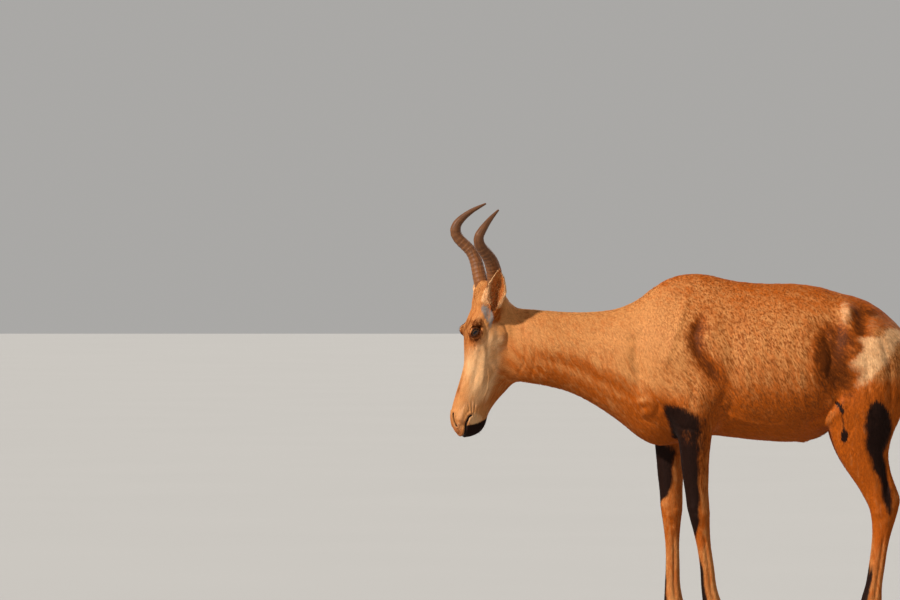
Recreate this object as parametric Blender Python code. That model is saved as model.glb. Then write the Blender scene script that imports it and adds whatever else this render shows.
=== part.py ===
"""Red hartebeest bull, standing, life size: plain solids out to the tips of the coat.

The animal faces -X with its left side towards -Y. Lengths are in metres.
The flesh is one smooth field: lofts for trunk with neck, head and four legs, joined by smooth minimums,
with muscles, bones and hollows as soft swellings. It is meshed once, then parted into nodes by thin cuts.
"""
import bpy
import bmesh
import numpy as np
from mathutils import Matrix, Vector

# ------------------------------------------------------------------ driving dimensions
GAP = 0.0003                 # thin cut between two nodes
GRID = 0.009                 # meshing step of the flesh
FLESH_TRIANGLES = 5000       # flesh is thinned to this many before it is parted
SHIFT = (0.030, 0.0, 0.0)      # moves the whole animal, so that the origin is under the middle of its box

FACE_TURN = np.radians(21)   # head turned to its left
POLL = np.array([-0.726, 0.0, 1.180])
NOSE_DOWN = np.array([-0.2216, 0.0, -0.9751])

EYE_AT = (0.118, 0.040, 0.0415)      # head frame: along the face, to its front, to its side
EYE_RADIUS = 0.0200
SOLE_LENGTH = 0.074
CLAW_WIDTH = 0.031
CORONET = 0.046              # height of the coronet at mid hoof
CORONET_SLOPE = 0.30         # the coronet rises to the toe

# Trunk and neck, along x: top, widest and bottom heights, half width, narrowing up and down, middle y.
TRUNK = [
    (-0.700, 1.135, 1.030, 0.945, 0.040, 0.15, 0.10, 0.030),
    (-0.660, 1.152, 1.022, 0.915, 0.058, 0.18, 0.12, 0.025),
    (-0.620, 1.151, 1.018, 0.900, 0.068, 0.20, 0.15, 0.018),
    (-0.550, 1.146, 1.010, 0.888, 0.078, 0.22, 0.20, 0.010),
    (-0.447, 1.139, 0.990, 0.862, 0.086, 0.26, 0.22, 0.004),
    (-0.344, 1.142, 0.960, 0.808, 0.102, 0.32, 0.22, 0.000),
    (-0.275, 1.154, 0.945, 0.760, 0.122, 0.38, 0.25, 0.000),
    (-0.206, 1.188, 0.930, 0.705, 0.142, 0.45, 0.28, 0.000),
    (-0.155, 1.228, 0.925, 0.681, 0.155, 0.52, 0.30, 0.000),
    (-0.096, 1.259, 0.925, 0.683, 0.166, 0.58, 0.32, 0.000),
    (-0.034, 1.271, 0.925, 0.700, 0.174, 0.60, 0.32, 0.000),
    (0.034, 1.266, 0.925, 0.714, 0.182, 0.56, 0.28, 0.000),
    (0.103, 1.249, 0.925, 0.708, 0.192, 0.48, 0.20, 0.000),
    (0.206, 1.238, 0.925, 0.697, 0.204, 0.40, 0.12, 0.000),
    (0.344, 1.235, 0.935, 0.697, 0.207, 0.36, 0.10, 0.000),
    (0.420, 1.223, 0.960, 0.722, 0.200, 0.32, 0.15, 0.000),
    (0.482, 1.204, 0.990, 0.765, 0.187, 0.28, 0.20, 0.000),
    (0.533, 1.192, 1.010, 0.815, 0.174, 0.26, 0.20, 0.000),
    (0.585, 1.171, 1.020, 0.850, 0.152, 0.24, 0.20, 0.000),
    (0.637, 1.134, 1.010, 0.868, 0.128, 0.20, 0.20, 0.000),
    (0.688, 1.084, 0.990, 0.880, 0.094, 0.15, 0.15, 0.000),
    (0.735, 1.020, 0.960, 0.890, 0.056, 0.10, 0.10, 0.000),
]
# Head, from poll to nose: top, widest and bottom, half width, narrowing up and down.
HEAD = [
    (-0.060, 0.046, 0.015, -0.020, 0.040, 0.10, 0.00),
    (-0.030, 0.048, 0.012, -0.050, 0.050, 0.10, 0.10),
    (0.010, 0.048, 0.010, -0.085, 0.057, 0.10, 0.20),
    (0.040, 0.048, 0.012, -0.108, 0.060, 0.08, 0.28),
    (0.078, 0.056, 0.014, -0.132, 0.061, 0.05, 0.32),
    (0.101, 0.060, 0.014, -0.145, 0.061, 0.05, 0.35),
    (0.125, 0.059, 0.010, -0.156, 0.060, 0.08, 0.36),
    (0.147, 0.054, 0.004, -0.162, 0.058, 0.12, 0.37),
    (0.170, 0.049, -0.002, -0.166, 0.0565, 0.18, 0.38),
    (0.203, 0.041, -0.010, -0.167, 0.054, 0.26, 0.40),
    (0.237, 0.035, -0.018, -0.161, 0.050, 0.28, 0.40),
    (0.262, 0.0355, -0.020, -0.151, 0.047, 0.28, 0.38),
    (0.290, 0.037, -0.022, -0.136, 0.044, 0.26, 0.34),
    (0.325, 0.040, -0.020, -0.114, 0.041, 0.24, 0.28),
    (0.355, 0.042, -0.016, -0.099, 0.040, 0.20, 0.24),
    (0.385, 0.043, -0.012, -0.089, 0.041, 0.16, 0.20),
    (0.4185, 0.0415, -0.012, -0.087, 0.043, 0.12, 0.18),
    (0.437, 0.034, -0.014, -0.0815, 0.041, 0.10, 0.18),
    (0.455, 0.0245, -0.016, -0.069, 0.036, 0.10, 0.15),
    (0.470, 0.011, -0.018, -0.048, 0.026, 0.10, 0.15),
    (0.479, -0.003, -0.019, -0.032, 0.014, 0.10, 0.15),
]
# Forelegs, from the hoof up: depth from front to back and half width, the same for both.
FORELEG = [
    (0.030, 0.0740, 0.031), (0.070, 0.0730, 0.028), (0.092, 0.0710, 0.026), (0.120, 0.0730, 0.028),
    (0.148, 0.0640, 0.026), (0.185, 0.0555, 0.021), (0.268, 0.0485, 0.020), (0.337, 0.0485, 0.021),
    (0.395, 0.0580, 0.028), (0.440, 0.0695, 0.034), (0.475, 0.0765, 0.035), (0.520, 0.0805, 0.036),
    (0.590, 0.0925, 0.042), (0.660, 0.1035, 0.050), (0.720, 0.1205, 0.058), (0.767, 0.1390, 0.066),
    (0.836, 0.1580, 0.070), (0.900, 0.1450, 0.060),
]
# Where the middle of each foreleg runs: height, x, distance from y = 0.
FORELEG_LEFT_LINE = [
    (0.030, 0.007, 0.100), (0.070, 0.016, 0.100), (0.120, 0.0395, 0.101), (0.148, 0.0365, 0.102),
    (0.185, 0.0285, 0.103), (0.268, 0.0195, 0.104), (0.395, 0.0005, 0.104), (0.475, -0.0105, 0.104),
    (0.590, -0.020, 0.106), (0.720, -0.0235, 0.112), (0.767, -0.026, 0.114), (0.836, -0.040, 0.112),
    (0.900, -0.050, 0.105),
]
FORELEG_RIGHT_LINE = [
    (0.030, -0.113, 0.095), (0.070, -0.104, 0.095), (0.120, -0.0855, 0.095), (0.148, -0.0875, 0.096),
    (0.185, -0.090, 0.097), (0.268, -0.090, 0.098), (0.395, -0.0925, 0.100), (0.475, -0.094, 0.102),
    (0.590, -0.0975, 0.105), (0.720, -0.095, 0.112), (0.767, -0.089, 0.114), (0.836, -0.082, 0.112),
    (0.900, -0.075, 0.105),
]
# Hind legs, from the hoof up: depth, half width, x of the middle, distance from y = 0.
HINDLEG = [
    (0.030, 0.074, 0.030, 0.5510, 0.110), (0.050, 0.074, 0.030, 0.5550, 0.110),
    (0.070, 0.070, 0.027, 0.5610, 0.110), (0.092, 0.068, 0.025, 0.5690, 0.110),
    (0.120, 0.075, 0.027, 0.5805, 0.110), (0.148, 0.068, 0.026, 0.5840, 0.110),
    (0.190, 0.055, 0.021, 0.5905, 0.110), (0.268, 0.051, 0.020, 0.6025, 0.110),
    (0.334, 0.052, 0.021, 0.6120, 0.110), (0.385, 0.061, 0.024, 0.6195, 0.110),
    (0.430, 0.078, 0.028, 0.6250, 0.110), (0.461, 0.094, 0.031, 0.6260, 0.110),
    (0.500, 0.120, 0.032, 0.6200, 0.110), (0.537, 0.129, 0.034, 0.6035, 0.110),
    (0.595, 0.149, 0.042, 0.5735, 0.111), (0.657, 0.177, 0.052, 0.5525, 0.112),
    (0.722, 0.214, 0.064, 0.5490, 0.112), (0.784, 0.254, 0.074, 0.5570, 0.108),
    (0.836, 0.280, 0.082, 0.5720, 0.102), (0.900, 0.292, 0.086, 0.5860, 0.092),
    (0.990, 0.267, 0.082, 0.5885, 0.084), (1.080, 0.192, 0.062, 0.5760, 0.078),
]
HIND_STAGGER = 0.014         # the right hind foot stands this far behind the left one
STAGGER_FROM = 0.95          # the stagger fades out up to this height
THIGH_THIN = 0.50            # the thighs narrow to the back

# Soft swellings (+) and hollows (-) of both sides: middle x, y, z, reach along x, y, z, height.
MUSCLES = [
    (-0.060, 0.150, 1.030, 0.085, 0.07, 0.140, 0.012),    # shoulder blade
    (-0.165, 0.120, 0.850, 0.050, 0.06, 0.055, 0.016),    # point of the shoulder
    (0.010, 0.165, 0.840, 0.060, 0.06, 0.080, 0.012),     # triceps
    (0.100, 0.190, 0.900, 0.028, 0.08, 0.140, -0.010),    # hollow behind the shoulder
    (-0.215, 0.110, 0.960, 0.035, 0.06, 0.100, -0.010),   # before the shoulder
    (0.435, 0.190, 1.090, 0.055, 0.06, 0.070, -0.022),    # flank
    (0.500, 0.135, 1.160, 0.030, 0.05, 0.030, 0.012),     # hip bone
    (0.590, 0.170, 0.960, 0.080, 0.06, 0.110, 0.012),     # thigh
    (0.475, 0.160, 0.800, 0.045, 0.05, 0.045, 0.010),     # stifle
]
# The same in the head frame: along the face, front, side.
BONES = [
    (0.104, 0.054, 0.056, 0.022, 0.022, 0.024, 0.018),    # brow over the eye
    (0.139, 0.044, 0.056, 0.022, 0.024, 0.022, 0.011),    # rim under the eye
    (0.120, 0.018, 0.060, 0.026, 0.014, 0.022, 0.007),    # rim behind the eye
    (0.195, -0.092, 0.050, 0.055, 0.048, 0.030, 0.006),   # cheek
    (0.165, -0.020, 0.055, 0.080, 0.010, 0.025, 0.003),   # ridge from the eye along the cheek
    (0.265, -0.012, 0.045, 0.050, 0.020, 0.020, -0.006),  # hollow before the cheek
    (0.330, -0.052, 0.040, 0.060, 0.016, 0.020, -0.004),  # over the jaw bone
    (0.408, 0.012, 0.036, 0.022, 0.016, 0.016, 0.004),    # nostril wing
    (0.436, 0.002, 0.036, 0.011, 0.007, 0.012, -0.005),   # nostril
    (0.405, -0.062, 0.034, 0.036, 0.007, 0.018, -0.004),  # line of the mouth
    (0.060, 0.020, 0.062, 0.020, 0.016, 0.020, -0.005),   # temple
]
# Horn centre lines in the head frame, with radius: up, forward, back at the tips.
HORN_LEFT = [
    (-0.036, 0.006, 0.036, 0.0275), (-0.062, 0.010, 0.045, 0.0268), (-0.088, 0.022, 0.055, 0.0262),
    (-0.114, 0.039, 0.065, 0.0255), (-0.135, 0.057, 0.075, 0.0238), (-0.153, 0.081, 0.086, 0.0212),
    (-0.169, 0.107, 0.096, 0.0192), (-0.186, 0.124, 0.103, 0.0180), (-0.205, 0.129, 0.106, 0.0165),
    (-0.225, 0.123, 0.105, 0.0143), (-0.247, 0.113, 0.102, 0.0116), (-0.269, 0.100, 0.096, 0.0087),
    (-0.290, 0.085, 0.088, 0.0060), (-0.309, 0.070, 0.080, 0.0030),
]
HORN_RIGHT = [
    (-0.036, 0.016, 0.034, 0.0272), (-0.058, 0.029, 0.041, 0.0255), (-0.086, 0.040, 0.051, 0.0236),
    (-0.118, 0.051, 0.066, 0.0222), (-0.146, 0.068, 0.080, 0.0208), (-0.164, 0.090, 0.092, 0.0200),
    (-0.178, 0.112, 0.101, 0.0196), (-0.193, 0.129, 0.106, 0.0192), (-0.210, 0.137, 0.107, 0.0182),
    (-0.229, 0.136, 0.106, 0.0160), (-0.249, 0.127, 0.103, 0.0132), (-0.268, 0.114, 0.098, 0.0108),
    (-0.286, 0.099, 0.092, 0.0086), (-0.304, 0.080, 0.084, 0.0062), (-0.322, 0.059, 0.077, 0.0030),
]
# Ears in the head frame: root, tip, the way the cup opens.
EAR_LEFT = ((0.034, -0.006, 0.060), (-0.106, 0.037, 0.127), (0.35, 0.52, 0.78))
EAR_RIGHT = ((0.034, -0.008, -0.060), (-0.086, 0.000, -0.152), (0.35, 0.45, -0.82))
EAR_ROOT = 0.024             # flesh of the root before the ear's own node starts
EAR_THICK = 0.0050

# Tail: centre line with radius.
TAIL = [
    (0.700, 0.000, 1.052, 0.014), (0.728, 0.000, 1.046, 0.017), (0.748, 0.002, 1.022, 0.017),
    (0.757, 0.004, 0.985, 0.016), (0.760, 0.006, 0.940, 0.015), (0.762, 0.008, 0.885, 0.017),
    (0.764, 0.009, 0.825, 0.022), (0.766, 0.010, 0.760, 0.028), (0.768, 0.010, 0.690, 0.030),
    (0.770, 0.010, 0.620, 0.024), (0.772, 0.010, 0.570, 0.014), (0.773, 0.010, 0.540, 0.005),
]


# ------------------------------------------------------------------ field
def curve_table(stations, blur, step=0.002):
    """Smooth dense curves through the stations. The first column is the place, the rest are read there."""
    rows = np.array(stations, float)
    keys, values = rows[:, 0], rows[:, 1:]
    at = np.arange(keys[0], keys[-1] + step, step)
    i = np.clip(np.searchsorted(keys, at) - 1, 0, len(keys) - 2)
    span = (keys[i + 1] - keys[i])[:, None]
    t = (at - keys[i])[:, None] / span
    slope = np.gradient(values, keys, axis=0)
    dense = (2 * t**3 - 3 * t**2 + 1) * values[i] + (3 * t**2 - 2 * t**3) * values[i + 1]
    dense += span * ((t**3 - 2 * t**2 + t) * slope[i] + (t**3 - t**2) * slope[i + 1])
    reach = int(3 * blur / step)
    weight = np.exp(-0.5 * (np.arange(-reach, reach + 1) * step / blur) ** 2)
    weight /= weight.sum()
    padded = np.pad(dense, ((reach, reach), (0, 0)), mode="reflect", reflect_type="odd")
    columns = [np.convolve(padded[:, j], weight, "valid") for j in range(dense.shape[1])]
    return at, columns


def read(table, at):
    return [np.interp(at, table[0], column) for column in table[1]]


def smooth_min(a, b, k):
    h = np.maximum(k - np.abs(a - b), 0) / k
    return np.minimum(a, b) - h * h * (k / 4)


def smooth_max(a, b, k):
    return -smooth_min(-a, -b, k)


def section(side, rise, half, up, down, thin_up, thin_down, power):
    """About the distance to an egg-shaped outline, its widest line at rise = 0."""
    tall = np.where(rise > 0, up, down)
    v = np.abs(rise) / tall + 1e-5
    wide = half * (1 - np.where(rise > 0, thin_up, thin_down) * np.minimum(v, 1.15) ** 2)
    u = np.abs(side) / wide + 1e-5
    total = u**power + v**power
    r = total ** (1 / power)
    steep = r / total * np.sqrt((u ** (power - 1) / wide) ** 2 + (v ** (power - 1) / tall) ** 2)
    return (r - 1) / steep


def swell(d, x, y, z, spots):
    for cx, cy, cz, rx, ry, rz, height in spots:
        q = ((x - cx) / rx) ** 2 + ((np.abs(y) - cy) / ry) ** 2 + ((z - cz) / rz) ** 2
        d = d - height * np.exp(-q)
    return d


def rod(x, y, z, a, b, ra, rb):
    a, b = np.array(a, float), np.array(b, float)
    way = b - a
    t = np.clip(((x - a[0]) * way[0] + (y - a[1]) * way[1] + (z - a[2]) * way[2]) / (way @ way), 0, 1)
    gone = [p - a[i] - t * way[i] for i, p in enumerate((x, y, z))]
    return np.sqrt(gone[0] ** 2 + gone[1] ** 2 + gone[2] ** 2) - (ra + (rb - ra) * t)


FORWARD = np.array([-0.9751, 0.0, 0.2216])
SIDEWAYS = np.array([0.0, -1.0, 0.0])
FACE_FRONT = np.cos(FACE_TURN) * FORWARD + np.sin(FACE_TURN) * SIDEWAYS
FACE_LEFT = np.cos(FACE_TURN) * SIDEWAYS - np.sin(FACE_TURN) * FORWARD
HEAD_AXES = (NOSE_DOWN, FACE_FRONT, FACE_LEFT)


def to_head(x, y, z):
    gone = (x - POLL[0], y - POLL[1], z - POLL[2])
    return [sum(g * a for g, a in zip(gone, axis)) for axis in HEAD_AXES]


def from_head(place):
    return POLL + sum(p * axis for p, axis in zip(place, HEAD_AXES))


TRUNK_CURVES = curve_table(TRUNK, 0.014)
HEAD_CURVES = curve_table(HEAD, 0.006)
LEG_CURVES = {
    "foreleg_left": (curve_table(FORELEG, 0.008), curve_table(FORELEG_LEFT_LINE, 0.008), -1, 0.0),
    "foreleg_right": (curve_table(FORELEG, 0.008), curve_table(FORELEG_RIGHT_LINE, 0.008), 1, 0.0),
    "hindleg_left": (curve_table([row[:3] for row in HINDLEG], 0.009),
                     curve_table([row[:1] + row[3:] for row in HINDLEG], 0.009), -1, 0.0),
    "hindleg_right": (curve_table([row[:3] for row in HINDLEG], 0.009),
                      curve_table([row[:1] + row[3:] for row in HINDLEG], 0.009), 1, HIND_STAGGER),
}


def leg_shift(z, stagger):
    fade = np.clip(1 - z / STAGGER_FROM, 0, 1)
    return stagger * (1 - (1 - fade) ** 2)


def trunk_field(x, y, z):
    top, middle, bottom, half, thin_up, thin_down, off = read(TRUNK_CURVES, x)
    d = section(y - off, z - middle, half, top - middle, middle - bottom, thin_up, thin_down, 2.15)
    d = smooth_max(d, x - TRUNK[-1][0] - 0.012, 0.05)
    return smooth_max(d, TRUNK[0][0] - x, 0.02)


def leg_field(name, x, y, z):
    shape, line, side, stagger = LEG_CURVES[name]
    depth, half = read(shape, z)
    middle, off = read(line, z)
    back = x - middle - leg_shift(z, stagger)
    thinner = THIGH_THIN * np.clip((z - 0.58) / 0.25, 0, 1) if stagger or name == "hindleg_left" else 0.0
    d = section(y - side * off, back, half, depth / 2, depth / 2, thinner, 0.0, 2.1)
    return smooth_max(d, z - shape[0][-1], 0.05)


def head_field(t, u, l):
    top, middle, bottom, half, thin_up, thin_down = read(HEAD_CURVES, t)
    d = section(l, u - middle, half, top - middle, middle - bottom, thin_up, thin_down, 2.25)
    d = smooth_max(d, t - HEAD[-1][0], 0.012)
    d = smooth_max(d, HEAD[0][0] - t, 0.02)
    for side in (-1, 1):
        stalk = rod(t, u, l, (0.010, 0.006, side * 0.026), (-0.034, 0.017, side * 0.036), 0.032, 0.0275)
        d = smooth_min(d, stalk, 0.020)
    for root, tip, _ in (EAR_LEFT, EAR_RIGHT):
        way = (np.array(tip) - root) / np.linalg.norm(np.array(tip) - root)
        inner = np.array(root) - 0.020 * way
        d = smooth_min(d, rod(t, u, l, inner, np.array(root) + EAR_ROOT * way, 0.021, 0.0165), 0.016)
    return swell(d, t, u, l, BONES)


def flesh_field(x, y, z):
    d = trunk_field(x, y, z)
    for name in LEG_CURVES:
        reach = 0.045 if name.startswith("fore") else 0.050
        d = smooth_min(d, leg_field(name, x, y, z), reach)
    d = swell(d, x, y, z, MUSCLES)
    return smooth_min(d, head_field(*to_head(x, y, z)), 0.045)


# ------------------------------------------------------------------ meshing
def surface_net(values, axes):
    """Quads of the zero surface of values on a box grid: one point in each crossed cell."""
    inside = values < 0
    count = sum(inside[i:i + inside.shape[0] - 1, j:j + inside.shape[1] - 1, k:k + inside.shape[2] - 1].astype(np.int8)
                for i in (0, 1) for j in (0, 1) for k in (0, 1))
    cells = np.argwhere((count > 0) & (count < 8))
    number = np.full(count.shape, -1)
    number[tuple(cells.T)] = np.arange(len(cells))
    total = np.zeros((len(cells), 3))
    hits = np.zeros(len(cells))
    corners = [(i, j, k) for i in (0, 1) for j in (0, 1) for k in (0, 1)]
    for one in corners:
        for two in corners:
            if sum(two) - sum(one) != 1 or min(np.subtract(two, one)) < 0:
                continue
            ia, ib = cells + one, cells + two
            a, b = values[tuple(ia.T)], values[tuple(ib.T)]
            crossed = (a < 0) != (b < 0)
            share = np.where(crossed, a / np.where(crossed, a - b, 1), 0)
            for n in range(3):
                pa, pb = axes[n][ia[:, n]], axes[n][ib[:, n]]
                total[:, n] += np.where(crossed, pa + share * (pb - pa), 0)
            hits += crossed
    points = total / hits[:, None]
    quads = []
    for n in range(3):
        p, q = (n + 1) % 3, (n + 2) % 3
        low = [slice(1, -1)] * 3
        low[n] = slice(0, -1)
        high = [slice(1, -1)] * 3
        high[n] = slice(1, None)
        a, b = inside[tuple(low)], inside[tuple(high)]
        for outward, crossed in ((True, a & ~b), (False, ~a & b)):
            at = np.argwhere(crossed)
            at += [0 if m == n else 1 for m in range(3)]
            ring = []
            for dp, dq in ((-1, -1), (0, -1), (0, 0), (-1, 0)):
                cell = at.copy()
                cell[:, p] += dp
                cell[:, q] += dq
                ring.append(number[tuple(cell.T)])
            ring = np.stack(ring, 1)
            quads.append(ring if outward else ring[:, ::-1])
    return points, np.concatenate(quads)


def onto_surface(field, points, rounds=3, step=0.0006):
    for _ in range(rounds):
        x, y, z = points.T
        d = field(x, y, z)
        slope = np.stack([field(x + step, y, z) - d, field(x, y + step, z) - d, field(x, y, z + step) - d], 1) / step
        points = points - slope * (d / np.maximum((slope**2).sum(1), 0.3))[:, None]
    return points


def grid_axes(low, high, step):
    return [np.arange(a, b + step, step) for a, b in zip(low, high)]


def field_mesh(name, field, low, high, step):
    axes = grid_axes(low, high, step)
    values = field(*np.meshgrid(*axes, indexing="ij"))
    points, quads = surface_net(values, axes)
    return new_object(name, onto_surface(field, points), quads)


# ------------------------------------------------------------------ mesh helpers
def new_object(name, points, faces):
    mesh = bpy.data.meshes.new(name)
    mesh.from_pydata([tuple(map(float, p)) for p in points], [], [tuple(map(int, f)) for f in faces])
    mesh.update()
    made = bpy.data.objects.new(name, mesh)
    bpy.context.scene.collection.objects.link(made)
    return made


def bake(made):
    """Replaces the object's mesh by the one its modifiers make."""
    graph = bpy.context.evaluated_depsgraph_get()
    mesh = bpy.data.meshes.new_from_object(made.evaluated_get(graph))
    made.modifiers.clear()
    made.data = mesh
    return made


def thin(made, triangles):
    mesh = made.data
    bm = bmesh.new()
    bm.from_mesh(mesh)
    bmesh.ops.triangulate(bm, faces=bm.faces)
    bm.to_mesh(mesh)
    bm.free()
    modifier = made.modifiers.new("thin", "DECIMATE")
    modifier.ratio = triangles / len(mesh.polygons)
    return bake(made)


def boolean(made, other, operation):
    modifier = made.modifiers.new(operation.lower(), "BOOLEAN")
    modifier.operation = operation
    modifier.solver = "EXACT"
    modifier.object = other
    return bake(made)


def drop(*helpers):
    for helper in helpers:
        bpy.data.objects.remove(helper)


def copy_of(made, name):
    twin = bpy.data.objects.new(name, made.data.copy())
    bpy.context.scene.collection.objects.link(twin)
    return twin


def box(name, low, high):
    corners = [(x, y, z) for x in (low[0], high[0]) for y in (low[1], high[1]) for z in (low[2], high[2])]
    faces = [(0, 1, 3, 2), (4, 6, 7, 5), (0, 4, 5, 1), (2, 3, 7, 6), (0, 2, 6, 4), (1, 5, 7, 3)]
    return new_object(name, corners, faces)


def slab(name, at, normal, near, far, half):
    """A box from near to far along normal, measured from the point at, and half wide to each side."""
    made = box(name, (-half, -half, near), (half, half, far))
    turn = Vector(normal).to_track_quat("Z", "Y").to_matrix().to_4x4()
    made.data.transform(Matrix.Translation(Vector(at)) @ turn)
    return made


def part_off(whole, name, cutter_low, cutter_high):
    """Takes from whole what lies inside the cutter as a node of its own, with a thin gap between."""
    piece = copy_of(whole, name)
    boolean(piece, cutter_low, "INTERSECT")
    boolean(whole, cutter_high, "DIFFERENCE")
    drop(cutter_low, cutter_high)
    return piece


def rings(name, loops, close_start=True, close_end=True):
    """A closed skin through rings of points; the ends are closed with a fan."""
    count = len(loops[0])
    points = [p for loop in loops for p in loop]
    faces = []
    for i in range(len(loops) - 1):
        for j in range(count):
            k = (j + 1) % count
            faces.append((i * count + j, i * count + k, (i + 1) * count + k, (i + 1) * count + j))
    if close_start:
        faces.append(tuple(range(count))[::-1])
    if close_end:
        faces.append(tuple(range((len(loops) - 1) * count, len(loops) * count)))
    made = new_object(name, points, faces)
    outward(made)
    return made


def outward(made):
    bm = bmesh.new()
    bm.from_mesh(made.data)
    bmesh.ops.recalc_face_normals(bm, faces=bm.faces)
    bm.to_mesh(made.data)
    bm.free()


def pocket(whole, made):
    """Cuts from whole the room that made needs, a gap wider than it on every side."""
    cutter = copy_of(made, "cutter")
    for vertex in cutter.data.vertices:
        vertex.co += vertex.normal * GAP * 1.5
    boolean(whole, cutter, "DIFFERENCE")
    drop(cutter)


def frame_along(way, guide):
    way = way / np.linalg.norm(way)
    side = guide - (guide @ way) * way
    side /= np.linalg.norm(side)
    return side, np.cross(way, side)


def tube(name, line, sides, guide, first_normal=None, detail=2):
    """A round body along a smooth line of (x, y, z, radius)."""
    rows = np.array(line, float)
    keys = np.concatenate([[0], np.cumsum(np.linalg.norm(np.diff(rows[:, :3], axis=0), axis=1))])
    at = np.linspace(0, keys[-1], (len(rows) - 1) * detail + 1)
    slope = np.gradient(rows, keys, axis=0)
    i = np.clip(np.searchsorted(keys, at) - 1, 0, len(keys) - 2)
    span = (keys[i + 1] - keys[i])[:, None]
    t = (at - keys[i])[:, None] / span
    path = (2 * t**3 - 3 * t**2 + 1) * rows[i] + (3 * t**2 - 2 * t**3) * rows[i + 1]
    path += span * ((t**3 - 2 * t**2 + t) * slope[i] + (t**3 - t**2) * slope[i + 1])
    ways = np.gradient(path[:, :3], axis=0)
    if first_normal is not None:
        ways[0] = first_normal
    loops = []
    for (x, y, z, radius), way in zip(path, ways):
        a, b = frame_along(way, guide)
        turn = np.linspace(0, 2 * np.pi, sides, endpoint=False)
        ring = np.outer(np.cos(turn), a) + np.outer(np.sin(turn), b)
        loops.append(np.array([x, y, z]) + radius * ring)
    return rings(name, loops)


def ball(name, at, radii, axes=None, segments=12, levels=8):
    axes = np.eye(3) if axes is None else np.array(axes)
    points = [at + radii[2] * axes[2]]
    for level in range(1, levels):
        lift = np.pi * level / levels
        for k in range(segments):
            turn = 2 * np.pi * k / segments
            way = (radii[0] * np.sin(lift) * np.cos(turn), radii[1] * np.sin(lift) * np.sin(turn), radii[2] * np.cos(lift))
            points.append(at + sum(w * axis for w, axis in zip(way, axes)))
    points.append(at - radii[2] * axes[2])
    last = len(points) - 1
    faces = []
    for k in range(segments):
        n = (k + 1) % segments
        faces.append((0, 1 + k, 1 + n))
        for level in range(levels - 2):
            a, b = 1 + level * segments, 1 + (level + 1) * segments
            faces.append((a + k, b + k, b + n, a + n))
        a = 1 + (levels - 2) * segments
        faces.append((last, a + n, a + k))
    made = new_object(name, points, faces)
    outward(made)
    return made


# ------------------------------------------------------------------ ears, horns, hooves
def ear(name, root, tip, opening, across=6, along=10):
    """A cupped leaf: rolled at the root, open and pointed above."""
    root, tip, opening = (np.array(v, float) for v in (root, tip, opening))
    length = np.linalg.norm(tip - root)
    way = (tip - root) / length
    face = opening - (opening @ way) * way
    face /= np.linalg.norm(face)
    side = np.cross(way, face)
    start = (EAR_ROOT + GAP) / length
    outer, inner = [], []
    for i in range(along + 1):
        v = start + (0.985 - start) * i / along
        wide = np.interp(v, [0, 0.15, 0.30, 0.45, 0.60, 0.75, 0.88, 0.96, 1.0],
                         [0.0165, 0.0185, 0.0270, 0.0325, 0.0325, 0.0265, 0.0175, 0.0090, 0.0040])
        roll = np.radians(np.interp(v, [0, 0.15, 0.35, 0.6, 1.0], [150, 140, 100, 78, 60]))
        radius = wide / np.sin(min(roll, np.pi / 2))
        middle = root + v * length * way + (0.010 * np.sin(np.pi * v) + radius - wide) * face
        thick = np.interp(v, [0, 0.5, 1.0], [EAR_THICK * 1.2, EAR_THICK, EAR_THICK * 0.6])
        rows = ([], [])
        for j in range(across + 1):
            w = -1 + 2 * j / across
            edge = 1 - 0.35 * abs(w) ** 3
            ray = np.sin(roll * w) * side - np.cos(roll * w) * face
            rows[0].append(middle + (radius + thick / 2 * edge) * ray)
            rows[1].append(middle + (radius - thick / 2 * edge) * ray)
        outer.append(rows[0])
        inner.append(rows[1])
    loops = [[from_head(p) for p in a + b[::-1]] for a, b in zip(outer, inner)]
    count = 2 * (across + 1)
    points = [p for loop in loops for p in loop]
    faces = []
    for i in range(along):
        for j in range(count):
            k = (j + 1) % count
            faces.append((i * count + j, i * count + k, (i + 1) * count + k, (i + 1) * count + j))
    for end in (0, along):
        base = end * count
        for j in range(across):
            faces.append((base + j, base + j + 1, base + count - 2 - j, base + count - 1 - j))
    made = new_object(name, points, faces)
    outward(made)
    return made


def coronet(x, middle):
    return CORONET + CORONET_SLOPE * (middle - x)


def claw(name, middle, y, side, toe):
    """One half of a hoof: flat sole at z = 0, pointed at the toe, flat towards its twin."""
    outline = [(-0.500, 0.06), (-0.44, 0.22), (-0.30, 0.42), (-0.10, 0.50), (0.12, 0.50), (0.32, 0.46), (0.44, 0.36),
               (0.50, 0.18), (0.50, -0.20), (0.40, -0.44), (0.10, -0.50), (-0.16, -0.48), (-0.36, -0.34), (-0.47, -0.12)]
    loops = []
    for level, scale, lean in ((0.0, 0.94, 0.0), (0.006, 1.0, 0.0), (0.55, 0.93, 0.35), (1.0, 0.86, 0.70)):
        ring = []
        for along, across in outline:
            px = middle + along * SOLE_LENGTH * scale + lean * toe
            py = y + side * across * CLAW_WIDTH * scale
            top = coronet(px, middle + toe) - GAP
            ring.append((px, py, level if level == 0.006 else level * top))
        loops.append(ring)
    return rings(name, loops)


# ------------------------------------------------------------------ colour
def colour(made, rgb, rough):
    material = bpy.data.materials.new(made.name + "_material")
    material.use_nodes = True
    shader = material.node_tree.nodes["Principled BSDF"]
    shader.inputs["Base Color"].default_value = (*rgb, 1)
    shader.inputs["Roughness"].default_value = rough
    made.data.materials.clear()
    made.data.materials.append(material)


COAT = (0.42, 0.20, 0.09)
FACE = (0.34, 0.16, 0.08)
DARK = (0.03, 0.025, 0.025)
HORN = (0.16, 0.12, 0.09)


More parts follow.
